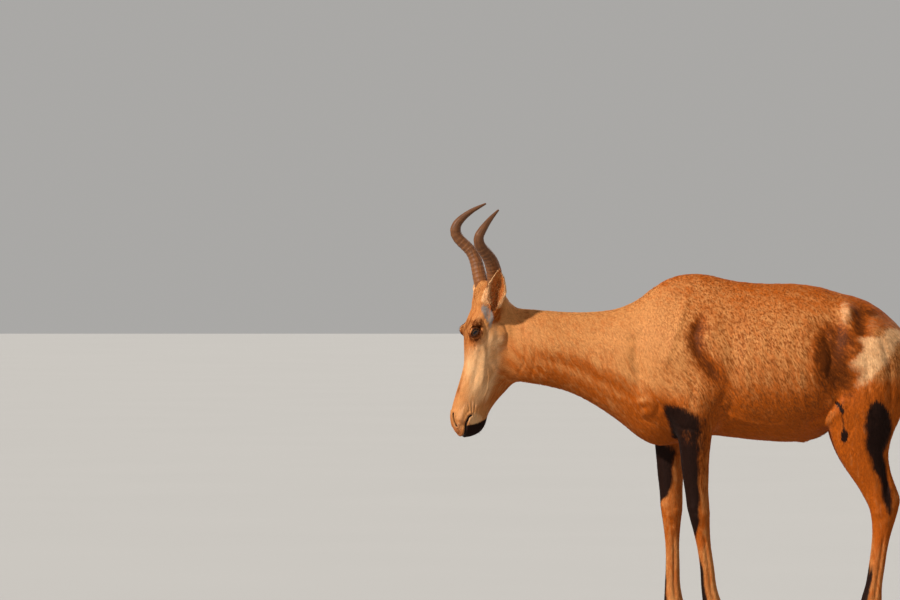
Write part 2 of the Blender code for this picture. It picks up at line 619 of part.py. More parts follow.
def main():
    for old in list(bpy.data.objects):
        bpy.data.objects.remove(old)

    flesh = field_mesh("trunk", flesh_field, (-0.92, -0.27, 0.010), (0.80, 0.27, 1.31), GRID)
    thin(flesh, FLESH_TRIANGLES)
    outward(flesh)

    nodes = {"trunk": flesh}
    for word, side in (("left", 1), ("right", -1)):
        at = from_head((EYE_AT[0], EYE_AT[1], side * EYE_AT[2]))
        nodes["eye_" + word] = ball("eye_" + word, at, (EYE_RADIUS,) * 3)
        pocket(flesh, nodes["eye_" + word])

    # Horns stand on flat faces of the bony stalk.
    for word, line, side in (("left", HORN_LEFT, 1), ("right", HORN_RIGHT, -1)):
        world = [(*from_head((t, u, side * l)), radius) for t, u, l, radius in line]
        start = np.array(world[0][:3])
        normal = np.array(world[1][:3]) - start
        normal /= np.linalg.norm(normal)
        cutter = slab("cutter", start, normal, -GAP, 0.10, 0.034)
        boolean(flesh, cutter, "DIFFERENCE")
        drop(cutter)
        nodes["horn_" + word] = tube("horn_" + word, world, 11, FACE_FRONT, normal, detail=1)
        pocket(flesh, nodes["horn_" + word])

    # Ears stand on flat faces of their roots.
    for word, (root, tip, opening) in (("left", EAR_LEFT), ("right", EAR_RIGHT)):
        way = from_head(tip) - from_head(root)
        way /= np.linalg.norm(way)
        cutter = slab("cutter", from_head(root) + EAR_ROOT * way, way, 0, 0.03, 0.026)
        boolean(flesh, cutter, "DIFFERENCE")
        drop(cutter)
        nodes["ear_" + word] = ear("ear_" + word, root, tip, opening)
        pocket(flesh, nodes["ear_" + word])

    # Tail in its pocket.
    nodes["tail"] = tube("tail", TAIL, 10, np.array([0.0, 1.0, 0.0]), detail=1)
    pocket(flesh, nodes["tail"])

    # Legs are parted from the trunk above the elbow and the stifle, and end at the coronet.
    for name, (_, line, side, stagger) in LEG_CURVES.items():
        middle, off = (float(v) for v in read(line, CORONET))
        middle += float(leg_shift(CORONET, stagger))
        normal = np.array([CORONET_SLOPE, 0.0, 1.0]) / np.hypot(CORONET_SLOPE, 1)
        below = slab("below", (middle, side * off, CORONET), normal, -0.12, 0, 0.07)
        boolean(flesh, below, "DIFFERENCE")
        drop(below)
        for word, shift in (("outer", 1), ("inner", -1)):
            y = side * off + shift * side * (CLAW_WIDTH / 2 + 0.0012)
            nodes[f"{name}_claw_{word}"] = claw(f"{name}_claw_{word}", middle - 0.004, y, shift * side, 0.004)
    cuts = {
        "foreleg_left": ((-0.22, -0.30, 0.0), (0.10, -0.035, 0.665)),
        "foreleg_right": ((-0.22, 0.035, 0.0), (0.10, 0.30, 0.665)),
        "hindleg_left": ((0.35, -0.30, 0.0), (0.740, -0.012, 0.680)),
        "hindleg_right": ((0.35, 0.012, 0.0), (0.740, 0.30, 0.680)),
    }
    for name, (low, high) in cuts.items():
        wider = (high[0], high[1] + (GAP if high[1] < 0 else 0), high[2] + GAP)
        inner = (low[0], low[1] - (GAP if low[1] > 0 else 0), low[2])
        nodes[name] = part_off(flesh, name, box("low", low, high), box("high", inner, wider))

    nape = np.array([0.985, 0.0, 0.17])
    nodes["neck"] = part_off(flesh, "neck", slab("low", (-0.345, 0, 0.95), -nape, 0, 0.6, 0.5),
                             slab("high", (-0.345, 0, 0.95), -nape, -GAP, 0.6, 0.5))
    nodes["head"] = part_off(nodes["neck"], "head", slab("low", (-0.615, 0, 1.03), -nape, 0, 0.6, 0.6),
                             slab("high", (-0.615, 0, 1.03), -nape, -GAP, 0.6, 0.6))

    for name, made in nodes.items():
        made.name = name
        made.data.transform(Matrix.Translation(Vector(SHIFT)))
        if "claw" in name or name == "tail":
            colour(made, DARK, 0.6)
        elif "horn" in name:
            colour(made, HORN, 0.5)
        elif "eye" in name:
            colour(made, (0.02, 0.012, 0.01), 0.05)
        else:
            colour(made, FACE if name == "head" else COAT, 0.85)
        print(name, len(made.data.polygons), sum(len(p.vertices) - 2 for p in made.data.polygons))
    points = np.array([made.matrix_world @ v.co for made in nodes.values() for v in made.data.vertices])
    print("box", points.min(0), points.max(0), "middle", (points.min(0) + points.max(0)) / 2)


main()
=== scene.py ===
"""Red hartebeest bull, standing: skin, short coat, eyes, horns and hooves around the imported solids.

The animal faces -X with its left side towards -Y. Lengths are in metres. Shapes are worked out in the frame
of the design tables below and moved by SHIFT when their meshes are made, so that they lie where the CAD is.
"""

import bpy
import bmesh
import numpy as np
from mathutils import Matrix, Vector


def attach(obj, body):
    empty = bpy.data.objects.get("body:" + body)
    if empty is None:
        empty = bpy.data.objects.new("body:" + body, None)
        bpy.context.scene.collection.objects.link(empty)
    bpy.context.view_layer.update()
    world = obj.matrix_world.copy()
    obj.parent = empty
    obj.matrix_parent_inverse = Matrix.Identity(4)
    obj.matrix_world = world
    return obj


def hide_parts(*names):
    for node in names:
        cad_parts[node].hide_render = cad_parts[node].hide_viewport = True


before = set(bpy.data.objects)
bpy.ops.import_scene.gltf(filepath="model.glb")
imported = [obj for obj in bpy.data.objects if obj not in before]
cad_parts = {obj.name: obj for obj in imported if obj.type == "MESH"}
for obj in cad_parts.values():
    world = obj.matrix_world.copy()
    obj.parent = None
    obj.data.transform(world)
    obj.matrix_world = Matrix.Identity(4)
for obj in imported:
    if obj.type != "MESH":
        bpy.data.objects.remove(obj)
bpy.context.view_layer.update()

# ------------------------------------------------------------------ driving dimensions
SHIFT = (0.030, 0.0, 0.0)    # moves the whole animal, so that the origin is under the middle of its box

FACE_TURN = np.radians(21)   # head turned to its left
POLL = np.array([-0.726, 0.0, 1.180])
NOSE_DOWN = np.array([-0.2216, 0.0, -0.9751])

EYE_AT = (0.118, 0.040, 0.0415)      # in the head frame: t along the face, u to its front, l to its left
EYE_RADIUS = 0.0200
SOLE_LENGTH = 0.074
CLAW_WIDTH = 0.031
CORONET = 0.046              # height of the coronet at mid hoof
CORONET_SLOPE = 0.30         # the coronet rises to the toe
SOLE_FLAT = 0.0003           # points lower than this are on the sole

# Trunk and neck, along x: top, widest and bottom heights, half width, narrowing up and down, middle y.
TRUNK = [
    (-0.700, 1.135, 1.030, 0.945, 0.040, 0.15, 0.10, 0.030),
    (-0.660, 1.152, 1.022, 0.915, 0.058, 0.18, 0.12, 0.025),
    (-0.620, 1.151, 1.018, 0.900, 0.068, 0.20, 0.15, 0.018),
    (-0.550, 1.146, 1.010, 0.888, 0.078, 0.22, 0.20, 0.010),
    (-0.447, 1.139, 0.990, 0.862, 0.086, 0.26, 0.22, 0.004),
    (-0.344, 1.142, 0.960, 0.808, 0.102, 0.32, 0.22, 0.000),
    (-0.275, 1.154, 0.945, 0.760, 0.122, 0.38, 0.25, 0.000),
    (-0.206, 1.188, 0.930, 0.705, 0.142, 0.45, 0.28, 0.000),
    (-0.155, 1.228, 0.925, 0.681, 0.155, 0.52, 0.30, 0.000),
    (-0.096, 1.259, 0.925, 0.683, 0.166, 0.58, 0.32, 0.000),
    (-0.034, 1.271, 0.925, 0.700, 0.174, 0.60, 0.32, 0.000),
    (0.034, 1.266, 0.925, 0.714, 0.182, 0.56, 0.28, 0.000),
    (0.103, 1.249, 0.925, 0.708, 0.192, 0.48, 0.20, 0.000),
    (0.206, 1.238, 0.925, 0.697, 0.204, 0.40, 0.12, 0.000),
    (0.344, 1.235, 0.935, 0.697, 0.207, 0.36, 0.10, 0.000),
    (0.420, 1.223, 0.960, 0.722, 0.200, 0.32, 0.15, 0.000),
    (0.482, 1.204, 0.990, 0.765, 0.187, 0.28, 0.20, 0.000),
    (0.533, 1.192, 1.010, 0.815, 0.174, 0.26, 0.20, 0.000),
    (0.585, 1.171, 1.020, 0.850, 0.152, 0.24, 0.20, 0.000),
    (0.637, 1.134, 1.010, 0.868, 0.128, 0.20, 0.20, 0.000),
    (0.688, 1.084, 0.990, 0.880, 0.094, 0.15, 0.15, 0.000),
    (0.735, 1.020, 0.960, 0.890, 0.056, 0.10, 0.10, 0.000),
]
# Head, from poll to nose: top, widest and bottom, half width, narrowing up and down.
HEAD = [
    (-0.060, 0.046, 0.015, -0.020, 0.040, 0.10, 0.00),
    (-0.030, 0.048, 0.012, -0.050, 0.050, 0.10, 0.10),
    (0.010, 0.048, 0.010, -0.085, 0.057, 0.10, 0.20),
    (0.040, 0.048, 0.012, -0.108, 0.060, 0.08, 0.28),
    (0.078, 0.056, 0.014, -0.132, 0.061, 0.05, 0.32),
    (0.101, 0.060, 0.014, -0.145, 0.061, 0.05, 0.35),
    (0.125, 0.059, 0.010, -0.156, 0.060, 0.08, 0.36),
    (0.147, 0.054, 0.004, -0.162, 0.058, 0.12, 0.37),
    (0.170, 0.049, -0.002, -0.166, 0.0565, 0.18, 0.38),
    (0.203, 0.041, -0.010, -0.167, 0.054, 0.26, 0.40),
    (0.237, 0.035, -0.018, -0.161, 0.050, 0.28, 0.40),
    (0.262, 0.0355, -0.020, -0.151, 0.047, 0.28, 0.38),
    (0.290, 0.037, -0.022, -0.136, 0.044, 0.26, 0.34),
    (0.325, 0.040, -0.020, -0.114, 0.041, 0.24, 0.28),
    (0.355, 0.042, -0.016, -0.099, 0.040, 0.20, 0.24),
    (0.385, 0.043, -0.012, -0.089, 0.041, 0.16, 0.20),
    (0.4185, 0.0415, -0.012, -0.087, 0.043, 0.12, 0.18),
    (0.437, 0.034, -0.014, -0.0815, 0.041, 0.10, 0.18),
    (0.455, 0.0245, -0.016, -0.069, 0.036, 0.10, 0.15),
    (0.470, 0.011, -0.018, -0.048, 0.026, 0.10, 0.15),
    (0.479, -0.003, -0.019, -0.032, 0.014, 0.10, 0.15),
]
# Forelegs, from the hoof up: depth from front to back and half width, the same for both.
FORELEG = [
    (0.030, 0.0740, 0.031), (0.070, 0.0730, 0.028), (0.092, 0.0710, 0.026), (0.120, 0.0730, 0.028),
    (0.148, 0.0640, 0.026), (0.185, 0.0555, 0.021), (0.268, 0.0485, 0.020), (0.337, 0.0485, 0.021),
    (0.395, 0.0580, 0.028), (0.440, 0.0695, 0.034), (0.475, 0.0765, 0.035), (0.520, 0.0805, 0.036),
    (0.590, 0.0925, 0.042), (0.660, 0.1035, 0.050), (0.720, 0.1205, 0.058), (0.767, 0.1390, 0.066),
    (0.836, 0.1580, 0.070), (0.900, 0.1450, 0.060),
]
# Where the middle of each foreleg runs: height, x, distance from y = 0.
FORELEG_LEFT_LINE = [
    (0.030, 0.007, 0.100), (0.070, 0.016, 0.100), (0.120, 0.0395, 0.101), (0.148, 0.0365, 0.102),
    (0.185, 0.0285, 0.103), (0.268, 0.0195, 0.104), (0.395, 0.0005, 0.104), (0.475, -0.0105, 0.104),
    (0.590, -0.020, 0.106), (0.720, -0.0235, 0.112), (0.767, -0.026, 0.114), (0.836, -0.040, 0.112),
    (0.900, -0.050, 0.105),
]
FORELEG_RIGHT_LINE = [
    (0.030, -0.113, 0.095), (0.070, -0.104, 0.095), (0.120, -0.0855, 0.095), (0.148, -0.0875, 0.096),
    (0.185, -0.090, 0.097), (0.268, -0.090, 0.098), (0.395, -0.0925, 0.100), (0.475, -0.094, 0.102),
    (0.590, -0.0975, 0.105), (0.720, -0.095, 0.112), (0.767, -0.089, 0.114), (0.836, -0.082, 0.112),
    (0.900, -0.075, 0.105),
]
# Hind legs, from the hoof up: depth, half width, x of the middle, distance from y = 0.
HINDLEG = [
    (0.030, 0.074, 0.030, 0.5510, 0.110), (0.050, 0.074, 0.030, 0.5550, 0.110),
    (0.070, 0.070, 0.027, 0.5610, 0.110), (0.092, 0.068, 0.025, 0.5690, 0.110),
    (0.120, 0.075, 0.027, 0.5805, 0.110), (0.148, 0.068, 0.026, 0.5840, 0.110),
    (0.190, 0.055, 0.021, 0.5905, 0.110), (0.268, 0.051, 0.020, 0.6025, 0.110),
    (0.334, 0.052, 0.021, 0.6120, 0.110), (0.385, 0.061, 0.024, 0.6195, 0.110),
    (0.430, 0.078, 0.028, 0.6250, 0.110), (0.461, 0.094, 0.031, 0.6260, 0.110),
    (0.500, 0.120, 0.032, 0.6200, 0.110), (0.537, 0.129, 0.034, 0.6035, 0.110),
    (0.595, 0.149, 0.042, 0.5735, 0.111), (0.657, 0.177, 0.052, 0.5525, 0.112),
    (0.722, 0.214, 0.064, 0.5490, 0.112), (0.784, 0.254, 0.074, 0.5570, 0.108),
    (0.836, 0.280, 0.082, 0.5720, 0.102), (0.900, 0.292, 0.086, 0.5860, 0.092),
    (0.990, 0.267, 0.082, 0.5885, 0.084), (1.080, 0.192, 0.062, 0.5760, 0.078),
]
HIND_STAGGER = 0.014         # the right hind foot stands this far behind the left one
STAGGER_FROM = 0.95          # the stagger fades out up to this height
THIGH_THIN = 0.50            # the thighs narrow to the back

# Soft swellings (+) and hollows (-) of both sides: middle x, y, z, reach along x, y, z, height.
MUSCLES = [
    (-0.06, 0.15, 1.03, 0.085, 0.07, 0.14, 0.012),   # shoulder blade
    (-0.165, 0.12, 0.85, 0.05, 0.06, 0.055, 0.016),  # point of the shoulder
    (0.01, 0.165, 0.84, 0.06, 0.06, 0.08, 0.012),    # triceps
    (0.1, 0.19, 0.9, 0.028, 0.08, 0.14, -0.01),      # hollow behind the shoulder
    (-0.215, 0.11, 0.96, 0.035, 0.06, 0.1, -0.01),   # before the shoulder
    (0.435, 0.19, 1.09, 0.055, 0.06, 0.07, -0.022),  # flank
    (0.5, 0.135, 1.16, 0.03, 0.05, 0.03, 0.012),     # hip bone
    (0.59, 0.17, 0.96, 0.08, 0.06, 0.11, 0.012),     # thigh
    (0.475, 0.16, 0.8, 0.045, 0.05, 0.045, 0.01),    # stifle
]
# The same in the head frame: along the face, front, side.
BONES = [
    (0.104, 0.054, 0.056, 0.022, 0.022, 0.024, 0.018),    # brow over the eye
    (0.139, 0.044, 0.056, 0.022, 0.024, 0.022, 0.011),    # rim under the eye
    (0.12, 0.018, 0.06, 0.026, 0.014, 0.022, 0.007),      # rim behind the eye
    (0.195, -0.092, 0.05, 0.055, 0.048, 0.03, 0.006),     # cheek
    (0.165, -0.02, 0.055, 0.08, 0.01, 0.025, 0.003),      # ridge from the eye along the cheek
    (0.265, -0.012, 0.045, 0.05, 0.02, 0.02, -0.006),     # hollow before the cheek
    (0.33, -0.052, 0.04, 0.06, 0.016, 0.02, -0.004),      # over the jaw bone
    (0.408, 0.012, 0.036, 0.022, 0.016, 0.016, 0.004),    # nostril wing
    (0.436, 0.002, 0.036, 0.011, 0.007, 0.012, -0.005),   # nostril
    (0.405, -0.062, 0.034, 0.036, 0.007, 0.018, -0.004),  # line of the mouth
    (0.06, 0.02, 0.062, 0.02, 0.016, 0.02, -0.005),       # temple
]
# Horn centre lines in the head frame, with radius: up, forward, back at the tips.
HORN_LEFT = [
    (-0.036, 0.006, 0.036, 0.0275), (-0.062, 0.010, 0.045, 0.0268), (-0.088, 0.022, 0.055, 0.0262),
    (-0.114, 0.039, 0.065, 0.0255), (-0.135, 0.057, 0.075, 0.0238), (-0.153, 0.081, 0.086, 0.0212),
    (-0.169, 0.107, 0.096, 0.0192), (-0.186, 0.124, 0.103, 0.0180), (-0.205, 0.129, 0.106, 0.0165),
    (-0.225, 0.123, 0.105, 0.0143), (-0.247, 0.113, 0.102, 0.0116), (-0.269, 0.100, 0.096, 0.0087),
    (-0.290, 0.085, 0.088, 0.0060), (-0.309, 0.070, 0.080, 0.0030),
]
HORN_RIGHT = [
    (-0.036, 0.016, 0.034, 0.0272), (-0.058, 0.029, 0.041, 0.0255), (-0.086, 0.040, 0.051, 0.0236),
    (-0.118, 0.051, 0.066, 0.0222), (-0.146, 0.068, 0.080, 0.0208), (-0.164, 0.090, 0.092, 0.0200),
    (-0.178, 0.112, 0.101, 0.0196), (-0.193, 0.129, 0.106, 0.0192), (-0.210, 0.137, 0.107, 0.0182),
    (-0.229, 0.136, 0.106, 0.0160), (-0.249, 0.127, 0.103, 0.0132), (-0.268, 0.114, 0.098, 0.0108),
    (-0.286, 0.099, 0.092, 0.0086), (-0.304, 0.080, 0.084, 0.0062), (-0.322, 0.059, 0.077, 0.0030),
]
# Ears in the head frame: root, tip, the way the cup opens.
EAR_LEFT = ((0.034, -0.006, 0.060), (-0.106, 0.037, 0.127), (0.35, 0.52, 0.78))
EAR_RIGHT = ((0.034, -0.008, -0.060), (-0.086, 0.000, -0.152), (0.35, 0.45, -0.82))
EARS = {"left": EAR_LEFT, "right": EAR_RIGHT}
EAR_THICK = 0.0050

# Tail: centre line with radius.
TAIL = [
    (0.700, 0.000, 1.052, 0.014), (0.728, 0.000, 1.046, 0.017), (0.748, 0.002, 1.022, 0.017),
    (0.757, 0.004, 0.985, 0.016), (0.760, 0.006, 0.940, 0.015), (0.762, 0.008, 0.885, 0.017),
    (0.764, 0.009, 0.825, 0.022), (0.766, 0.010, 0.760, 0.028), (0.768, 0.010, 0.690, 0.030),
    (0.770, 0.010, 0.620, 0.024), (0.772, 0.010, 0.570, 0.014), (0.773, 0.010, 0.540, 0.005),
]


# ------------------------------------------------------------------ field
def smooth_read(keys, values, at):
    """Smooth curve through the values at the keys."""
    keys, values = np.array(keys, float), np.array(values, float)
    slope = np.gradient(values, keys)
    i = np.clip(np.searchsorted(keys, at) - 1, 0, len(keys) - 2)
    span = keys[i + 1] - keys[i]
    t = (at - keys[i]) / span
    value = (2 * t**3 - 3 * t**2 + 1) * values[i] + (3 * t**2 - 2 * t**3) * values[i + 1]
    return value + span * ((t**3 - 2 * t**2 + t) * slope[i] + (t**3 - t**2) * slope[i + 1])


def smoothed(columns, offsets):
    """Evenly spaced values under a bell-shaped filter, whose places are given in widths of the bell."""
    weight = np.exp(-0.5 * offsets**2)
    weight /= weight.sum()
    reach = len(offsets) // 2
    padded = [np.pad(column, reach, mode="reflect", reflect_type="odd") for column in columns]
    return [np.convolve(column, weight, "valid") for column in padded]


def curve_table(stations, blur, step=0.002):
    """Smooth dense curves through the stations. The first column is the place, the rest are read there."""
    keys, *columns = np.array(stations, float).T
    at = np.arange(keys[0], keys[-1] + step, step)
    reach = int(3 * blur / step)
    offsets = np.arange(-reach, reach + 1) * step / blur
    return at, smoothed([smooth_read(keys, column, at) for column in columns], offsets)


def read(table, at):
    return [np.interp(at, table[0], column) for column in table[1]]


def smooth_min(a, b, k):
    h = np.maximum(k - np.abs(a - b), 0) / k
    return np.minimum(a, b) - h * h * (k / 4)


def smooth_max(a, b, k):
    return -smooth_min(-a, -b, k)


def section(side, rise, half, up, down, thin_up, thin_down, power):
    """About the distance to an egg-shaped outline, its widest line at rise = 0."""
    tall = np.where(rise > 0, up, down)
    v = np.abs(rise) / tall + 1e-5
    wide = half * (1 - np.where(rise > 0, thin_up, thin_down) * np.minimum(v, 1.15) ** 2)
    u = np.abs(side) / wide + 1e-5
    total = u**power + v**power
    r = total ** (1 / power)
    steep = r / total * np.sqrt((u ** (power - 1) / wide) ** 2 + (v ** (power - 1) / tall) ** 2)
    return (r - 1) / steep


def swell(d, x, y, z, spots):
    """Lifts the surface by soft swellings and hollows, the same on both sides."""
    for cx, cy, cz, rx, ry, rz, height in spots:
        q = ((x - cx) / rx) ** 2 + ((np.abs(y) - cy) / ry) ** 2 + ((z - cz) / rz) ** 2
        d = d - height * np.exp(-q)
    return d


def rod(x, y, z, a, b, ra, rb):
    """Distance to a rod from a to b, with a radius at each end."""
    a, b = np.array(a, float), np.array(b, float)
    way = b - a
    t = np.clip(((x - a[0]) * way[0] + (y - a[1]) * way[1] + (z - a[2]) * way[2]) / (way @ way), 0, 1)
    gone = [p - a[i] - t * way[i] for i, p in enumerate((x, y, z))]
    return np.sqrt(gone[0] ** 2 + gone[1] ** 2 + gone[2] ** 2) - (ra + (rb - ra) * t)


FORWARD = np.array([-0.9751, 0.0, 0.2216])
SIDEWAYS = np.array([0.0, -1.0, 0.0])
FACE_FRONT = np.cos(FACE_TURN) * FORWARD + np.sin(FACE_TURN) * SIDEWAYS
FACE_LEFT = np.cos(FACE_TURN) * SIDEWAYS - np.sin(FACE_TURN) * FORWARD
HEAD_AXES = np.array((NOSE_DOWN, FACE_FRONT, FACE_LEFT))


def to_head(x, y, z):
    """t along the face, u to its front and l to its left."""
    gone = (x - POLL[0], y - POLL[1], z - POLL[2])
    return [sum(g * a for g, a in zip(gone, axis)) for axis in HEAD_AXES]


def head_places(points):
    return np.stack(to_head(*points.T), 1)


def world_of(places):
    return POLL + np.asarray(places) @ HEAD_AXES


TRUNK_CURVES = curve_table(TRUNK, 0.014)
HEAD_CURVES = curve_table(HEAD, 0.006)
HIND_CURVES = (curve_table([row[:3] for row in HINDLEG], 0.009),
               curve_table([row[:1] + row[3:] for row in HINDLEG], 0.009))
# Of each leg: its thickness, its line, its side in y and how far its foot is set back.
LEG_CURVES = {
    "foreleg_left": (curve_table(FORELEG, 0.008), curve_table(FORELEG_LEFT_LINE, 0.008), -1, 0.0),
    "foreleg_right": (curve_table(FORELEG, 0.008), curve_table(FORELEG_RIGHT_LINE, 0.008), 1, 0.0),
    "hindleg_left": (*HIND_CURVES, -1, 0.0),
    "hindleg_right": (*HIND_CURVES, 1, HIND_STAGGER),
}
LEG_JOIN = {"fore": 0.045, "hind": 0.050}      # how softly legs run into the trunk
HEAD_JOIN = 0.045


def leg_shift(z, stagger):
    fade = np.clip(1 - z / STAGGER_FROM, 0, 1)
    return stagger * (1 - (1 - fade) ** 2)


def trunk_field(x, y, z):
    top, middle, bottom, half, thin_up, thin_down, off = read(TRUNK_CURVES, x)
    d = section(y - off, z - middle, half, top - middle, middle - bottom, thin_up, thin_down, 2.15)
    d = smooth_max(d, x - TRUNK[-1][0] - 0.012, 0.05)
    return smooth_max(d, TRUNK[0][0] - x, 0.02)


def leg_field(name, x, y, z):
    shape, line, side, stagger = LEG_CURVES[name]
    depth, half = read(shape, z)
    middle, off = read(line, z)
    back = x - middle - leg_shift(z, stagger)
    thinner = THIGH_THIN * np.clip((z - 0.58) / 0.25, 0, 1) if name.startswith("hind") else 0.0
    d = section(y - side * off, back, half, depth / 2, depth / 2, thinner, 0.0, 2.1)
    return smooth_max(d, z - shape[0][-1], 0.05)


# ------------------------------------------------------------------ finer shapes of the skin
BODY_STEP = 0.0050           # meshing step behind the upper neck
HEAD_STEP = 0.0025           # and in front of it
NECK_JOIN = -0.500           # x where the two meshes are bridged
COAT_DEPTH = {"trunk": 0.0026, "leg": 0.0013, "head": 0.0009}
DOCK = 0.0155                # the dock is no thicker than this
RANDOM = np.random.default_rng(41)


def bell(value, at, reach):
    """1 at one place, fading over reach to both sides."""
    return np.exp(-((value - at) / reach) ** 2)


def blend_step(low, high, value):
    """0 at low to 1 at high, smooth at both ends."""
    t = np.clip((value - low) / (high - low), 0, 1)
    return t * t * (3 - 2 * t)


def stalk_field(t, u, l, side, line):
    """The bony stalk that a horn stands on, cut square under the horn."""
    start = np.array([line[0][0], line[0][1], side * line[0][2]])
    way = np.array([line[1][0], line[1][1], side * line[1][2]]) - start
    way /= np.linalg.norm(way)
    stalk = rod(t, u, l, (0.012, 0.006, side * 0.026), start + (0.002, 0.004, 0), 0.0325, 0.0282)
    above = (t - start[0]) * way[0] + (u - start[1]) * way[1] + (l - start[2]) * way[2]
    return smooth_max(stalk, above - 0.002, 0.008)


def skin_head_field(t, u, l):
    top, middle, bottom, half, thin_up, thin_down = read(HEAD_CURVES, t)
    d = section(l, u - middle, half, top - middle, middle - bottom, thin_up, thin_down, 2.25)
    d = smooth_max(d, t - HEAD[-1][0], 0.012)
    d = smooth_max(d, HEAD[0][0] - t, 0.02)
    for side, line in ((1, HORN_LEFT), (-1, HORN_RIGHT)):
        d = smooth_min(d, stalk_field(t, u, l, side, line), 0.020)
    for spec in EARS.values():
        root, _, way, _, _ = ear_axes(spec)
        d = smooth_min(d, rod(t, u, l, root - 0.020 * way, root - 0.004 * way, 0.021, 0.0165), 0.016)
    d = swell(d, t, u, l, BONES)
    for side in (1, -1):
        lids = np.sqrt((t - EYE_AT[0]) ** 2 + (u - EYE_AT[1]) ** 2 + (l - side * EYE_AT[2]) ** 2)
        d = smooth_min(d, lids - EYE_RADIUS - 0.0012, 0.014)
    return d


def coronet_middle(name):
    """x and distance from y = 0 of the middle of a leg at its coronet."""
    _, line, _, stagger = LEG_CURVES[name]
    middle, off = (float(value) for value in read(line, CORONET))
    return middle + float(leg_shift(CORONET, stagger)), off


def leg_end(name, x, z):
    """Height over the sloping coronet, where the skin goes into the hoof."""
    return (z - CORONET) + CORONET_SLOPE * (x - coronet_middle(name)[0])


def skin_field(x, y, z):
    """The flesh without its coat, with legs that end inside the hooves and a thin dock in the tail."""
    d = trunk_field(x, y, z)
    depth = np.full(x.shape, COAT_DEPTH["trunk"])
    for name in LEG_CURVES:
        leg = smooth_max(leg_field(name, x, y, z), -0.010 - leg_end(name, x, z), 0.004)
        d = smooth_min(d, leg, LEG_JOIN[name[:4]])
    depth += (COAT_DEPTH["leg"] - COAT_DEPTH["trunk"]) * blend_step(0.62, 0.42, z)
    d = swell(d, x, y, z, MUSCLES)
    for (ax, ay, az, ra), (bx, by, bz, rb) in zip(TAIL[:7], TAIL[1:8]):
        thin = 0.006 if az < 0.95 else 0.003
        dock = rod(x, y, z, (ax, ay, az), (bx, by, bz), min(ra, DOCK) - thin, min(rb, DOCK) - thin)
        d = smooth_min(d, dock, 0.018)
    t, u, l = to_head(x, y, z)
    head = skin_head_field(t, u, l)
    near_head = blend_step(0.03, -0.01, head - d)
    depth += (COAT_DEPTH["head"] - COAT_DEPTH["trunk"]) * near_head
    return smooth_min(d, head, HEAD_JOIN) + depth


def surface_net(values, axes):
    """Quads of the zero surface of values on a box grid: one point in each crossed cell."""
    inside = values < 0
    corners = [(i, j, k) for i in (0, 1) for j in (0, 1) for k in (0, 1)]
    a, b, c = (size - 1 for size in inside.shape)
    count = sum(inside[i:i + a, j:j + b, k:k + c].astype(np.int8) for i, j, k in corners)
    cells = np.argwhere((count > 0) & (count < 8))
    number = np.full(count.shape, -1)
    number[tuple(cells.T)] = np.arange(len(cells))
    total = np.zeros((len(cells), 3))
    hits = np.zeros(len(cells))
    for one in corners:
        for two in corners:
            if sum(two) - sum(one) != 1 or min(np.subtract(two, one)) < 0:
                continue
            ia, ib = cells + one, cells + two
            a, b = values[tuple(ia.T)], values[tuple(ib.T)]
            crossed = (a < 0) != (b < 0)
            share = np.where(crossed, a / np.where(crossed, a - b, 1), 0)
            for n in range(3):
                pa, pb = axes[n][ia[:, n]], axes[n][ib[:, n]]
                total[:, n] += np.where(crossed, pa + share * (pb - pa), 0)
            hits += crossed
    points = total / hits[:, None]
    quads = []
    for n in range(3):
        p, q = (n + 1) % 3, (n + 2) % 3
        low = [slice(1, -1)] * 3
        low[n] = slice(0, -1)
        high = [slice(1, -1)] * 3
        high[n] = slice(1, None)
        a, b = inside[tuple(low)], inside[tuple(high)]
        for outward, crossed in ((True, a & ~b), (False, ~a & b)):
            at = np.argwhere(crossed)
            at += [0 if m == n else 1 for m in range(3)]
            ring = []
            for dp, dq in ((-1, -1), (0, -1), (0, 0), (-1, 0)):
                cell = at.copy()
                cell[:, p] += dp
                cell[:, q] += dq
                ring.append(number[tuple(cell.T)])
            ring = np.stack(ring, 1)
            quads.append(ring if outward else ring[:, ::-1])
    return points, np.concatenate(quads)


def onto_surface(field, points, rounds=3, step=0.0006):
    """Moves points along the slope of the field to where it is zero."""
    for _ in range(rounds):
        x, y, z = points.T
        d = field(x, y, z)
        slope = np.stack([field(x + step, y, z) - d, field(x, y + step, z) - d, field(x, y, z + step) - d], 1)
        slope = slope / step
        points = points - slope * (d / np.maximum((slope**2).sum(1), 0.3))[:, None]
    return points


def band_net(field, low, high, step, block=4):
    """Surface net on a fine grid whose values are only worked out near the surface."""
    counts = [int(np.ceil((b - a) / step / block - 1e-6)) * block for a, b in zip(low, high)]
    axes = [a + step * np.arange(n + 1) for a, n in zip(low, counts)]
    middles = [axis[:-1:block] + step * block / 2 for axis in axes]
    rough = field(*np.meshgrid(*middles, indexing="ij"))
    near = np.abs(rough) < step * block * 1.45
    values = rough
    for n in range(3):
        values = np.repeat(values, block, axis=n)
        near = np.repeat(near, block, axis=n)
    values = np.pad(values, ((0, 1),) * 3, mode="edge")
    near = np.pad(near, ((0, 1),) * 3, mode="edge")
    for n in range(3):
        near |= np.roll(near, 1, axis=n)
    at = np.argwhere(near)
    places = [axes[n][at[:, n]] for n in range(3)]
    values[tuple(at.T)] = field(*places)
    return surface_net(values, axes)


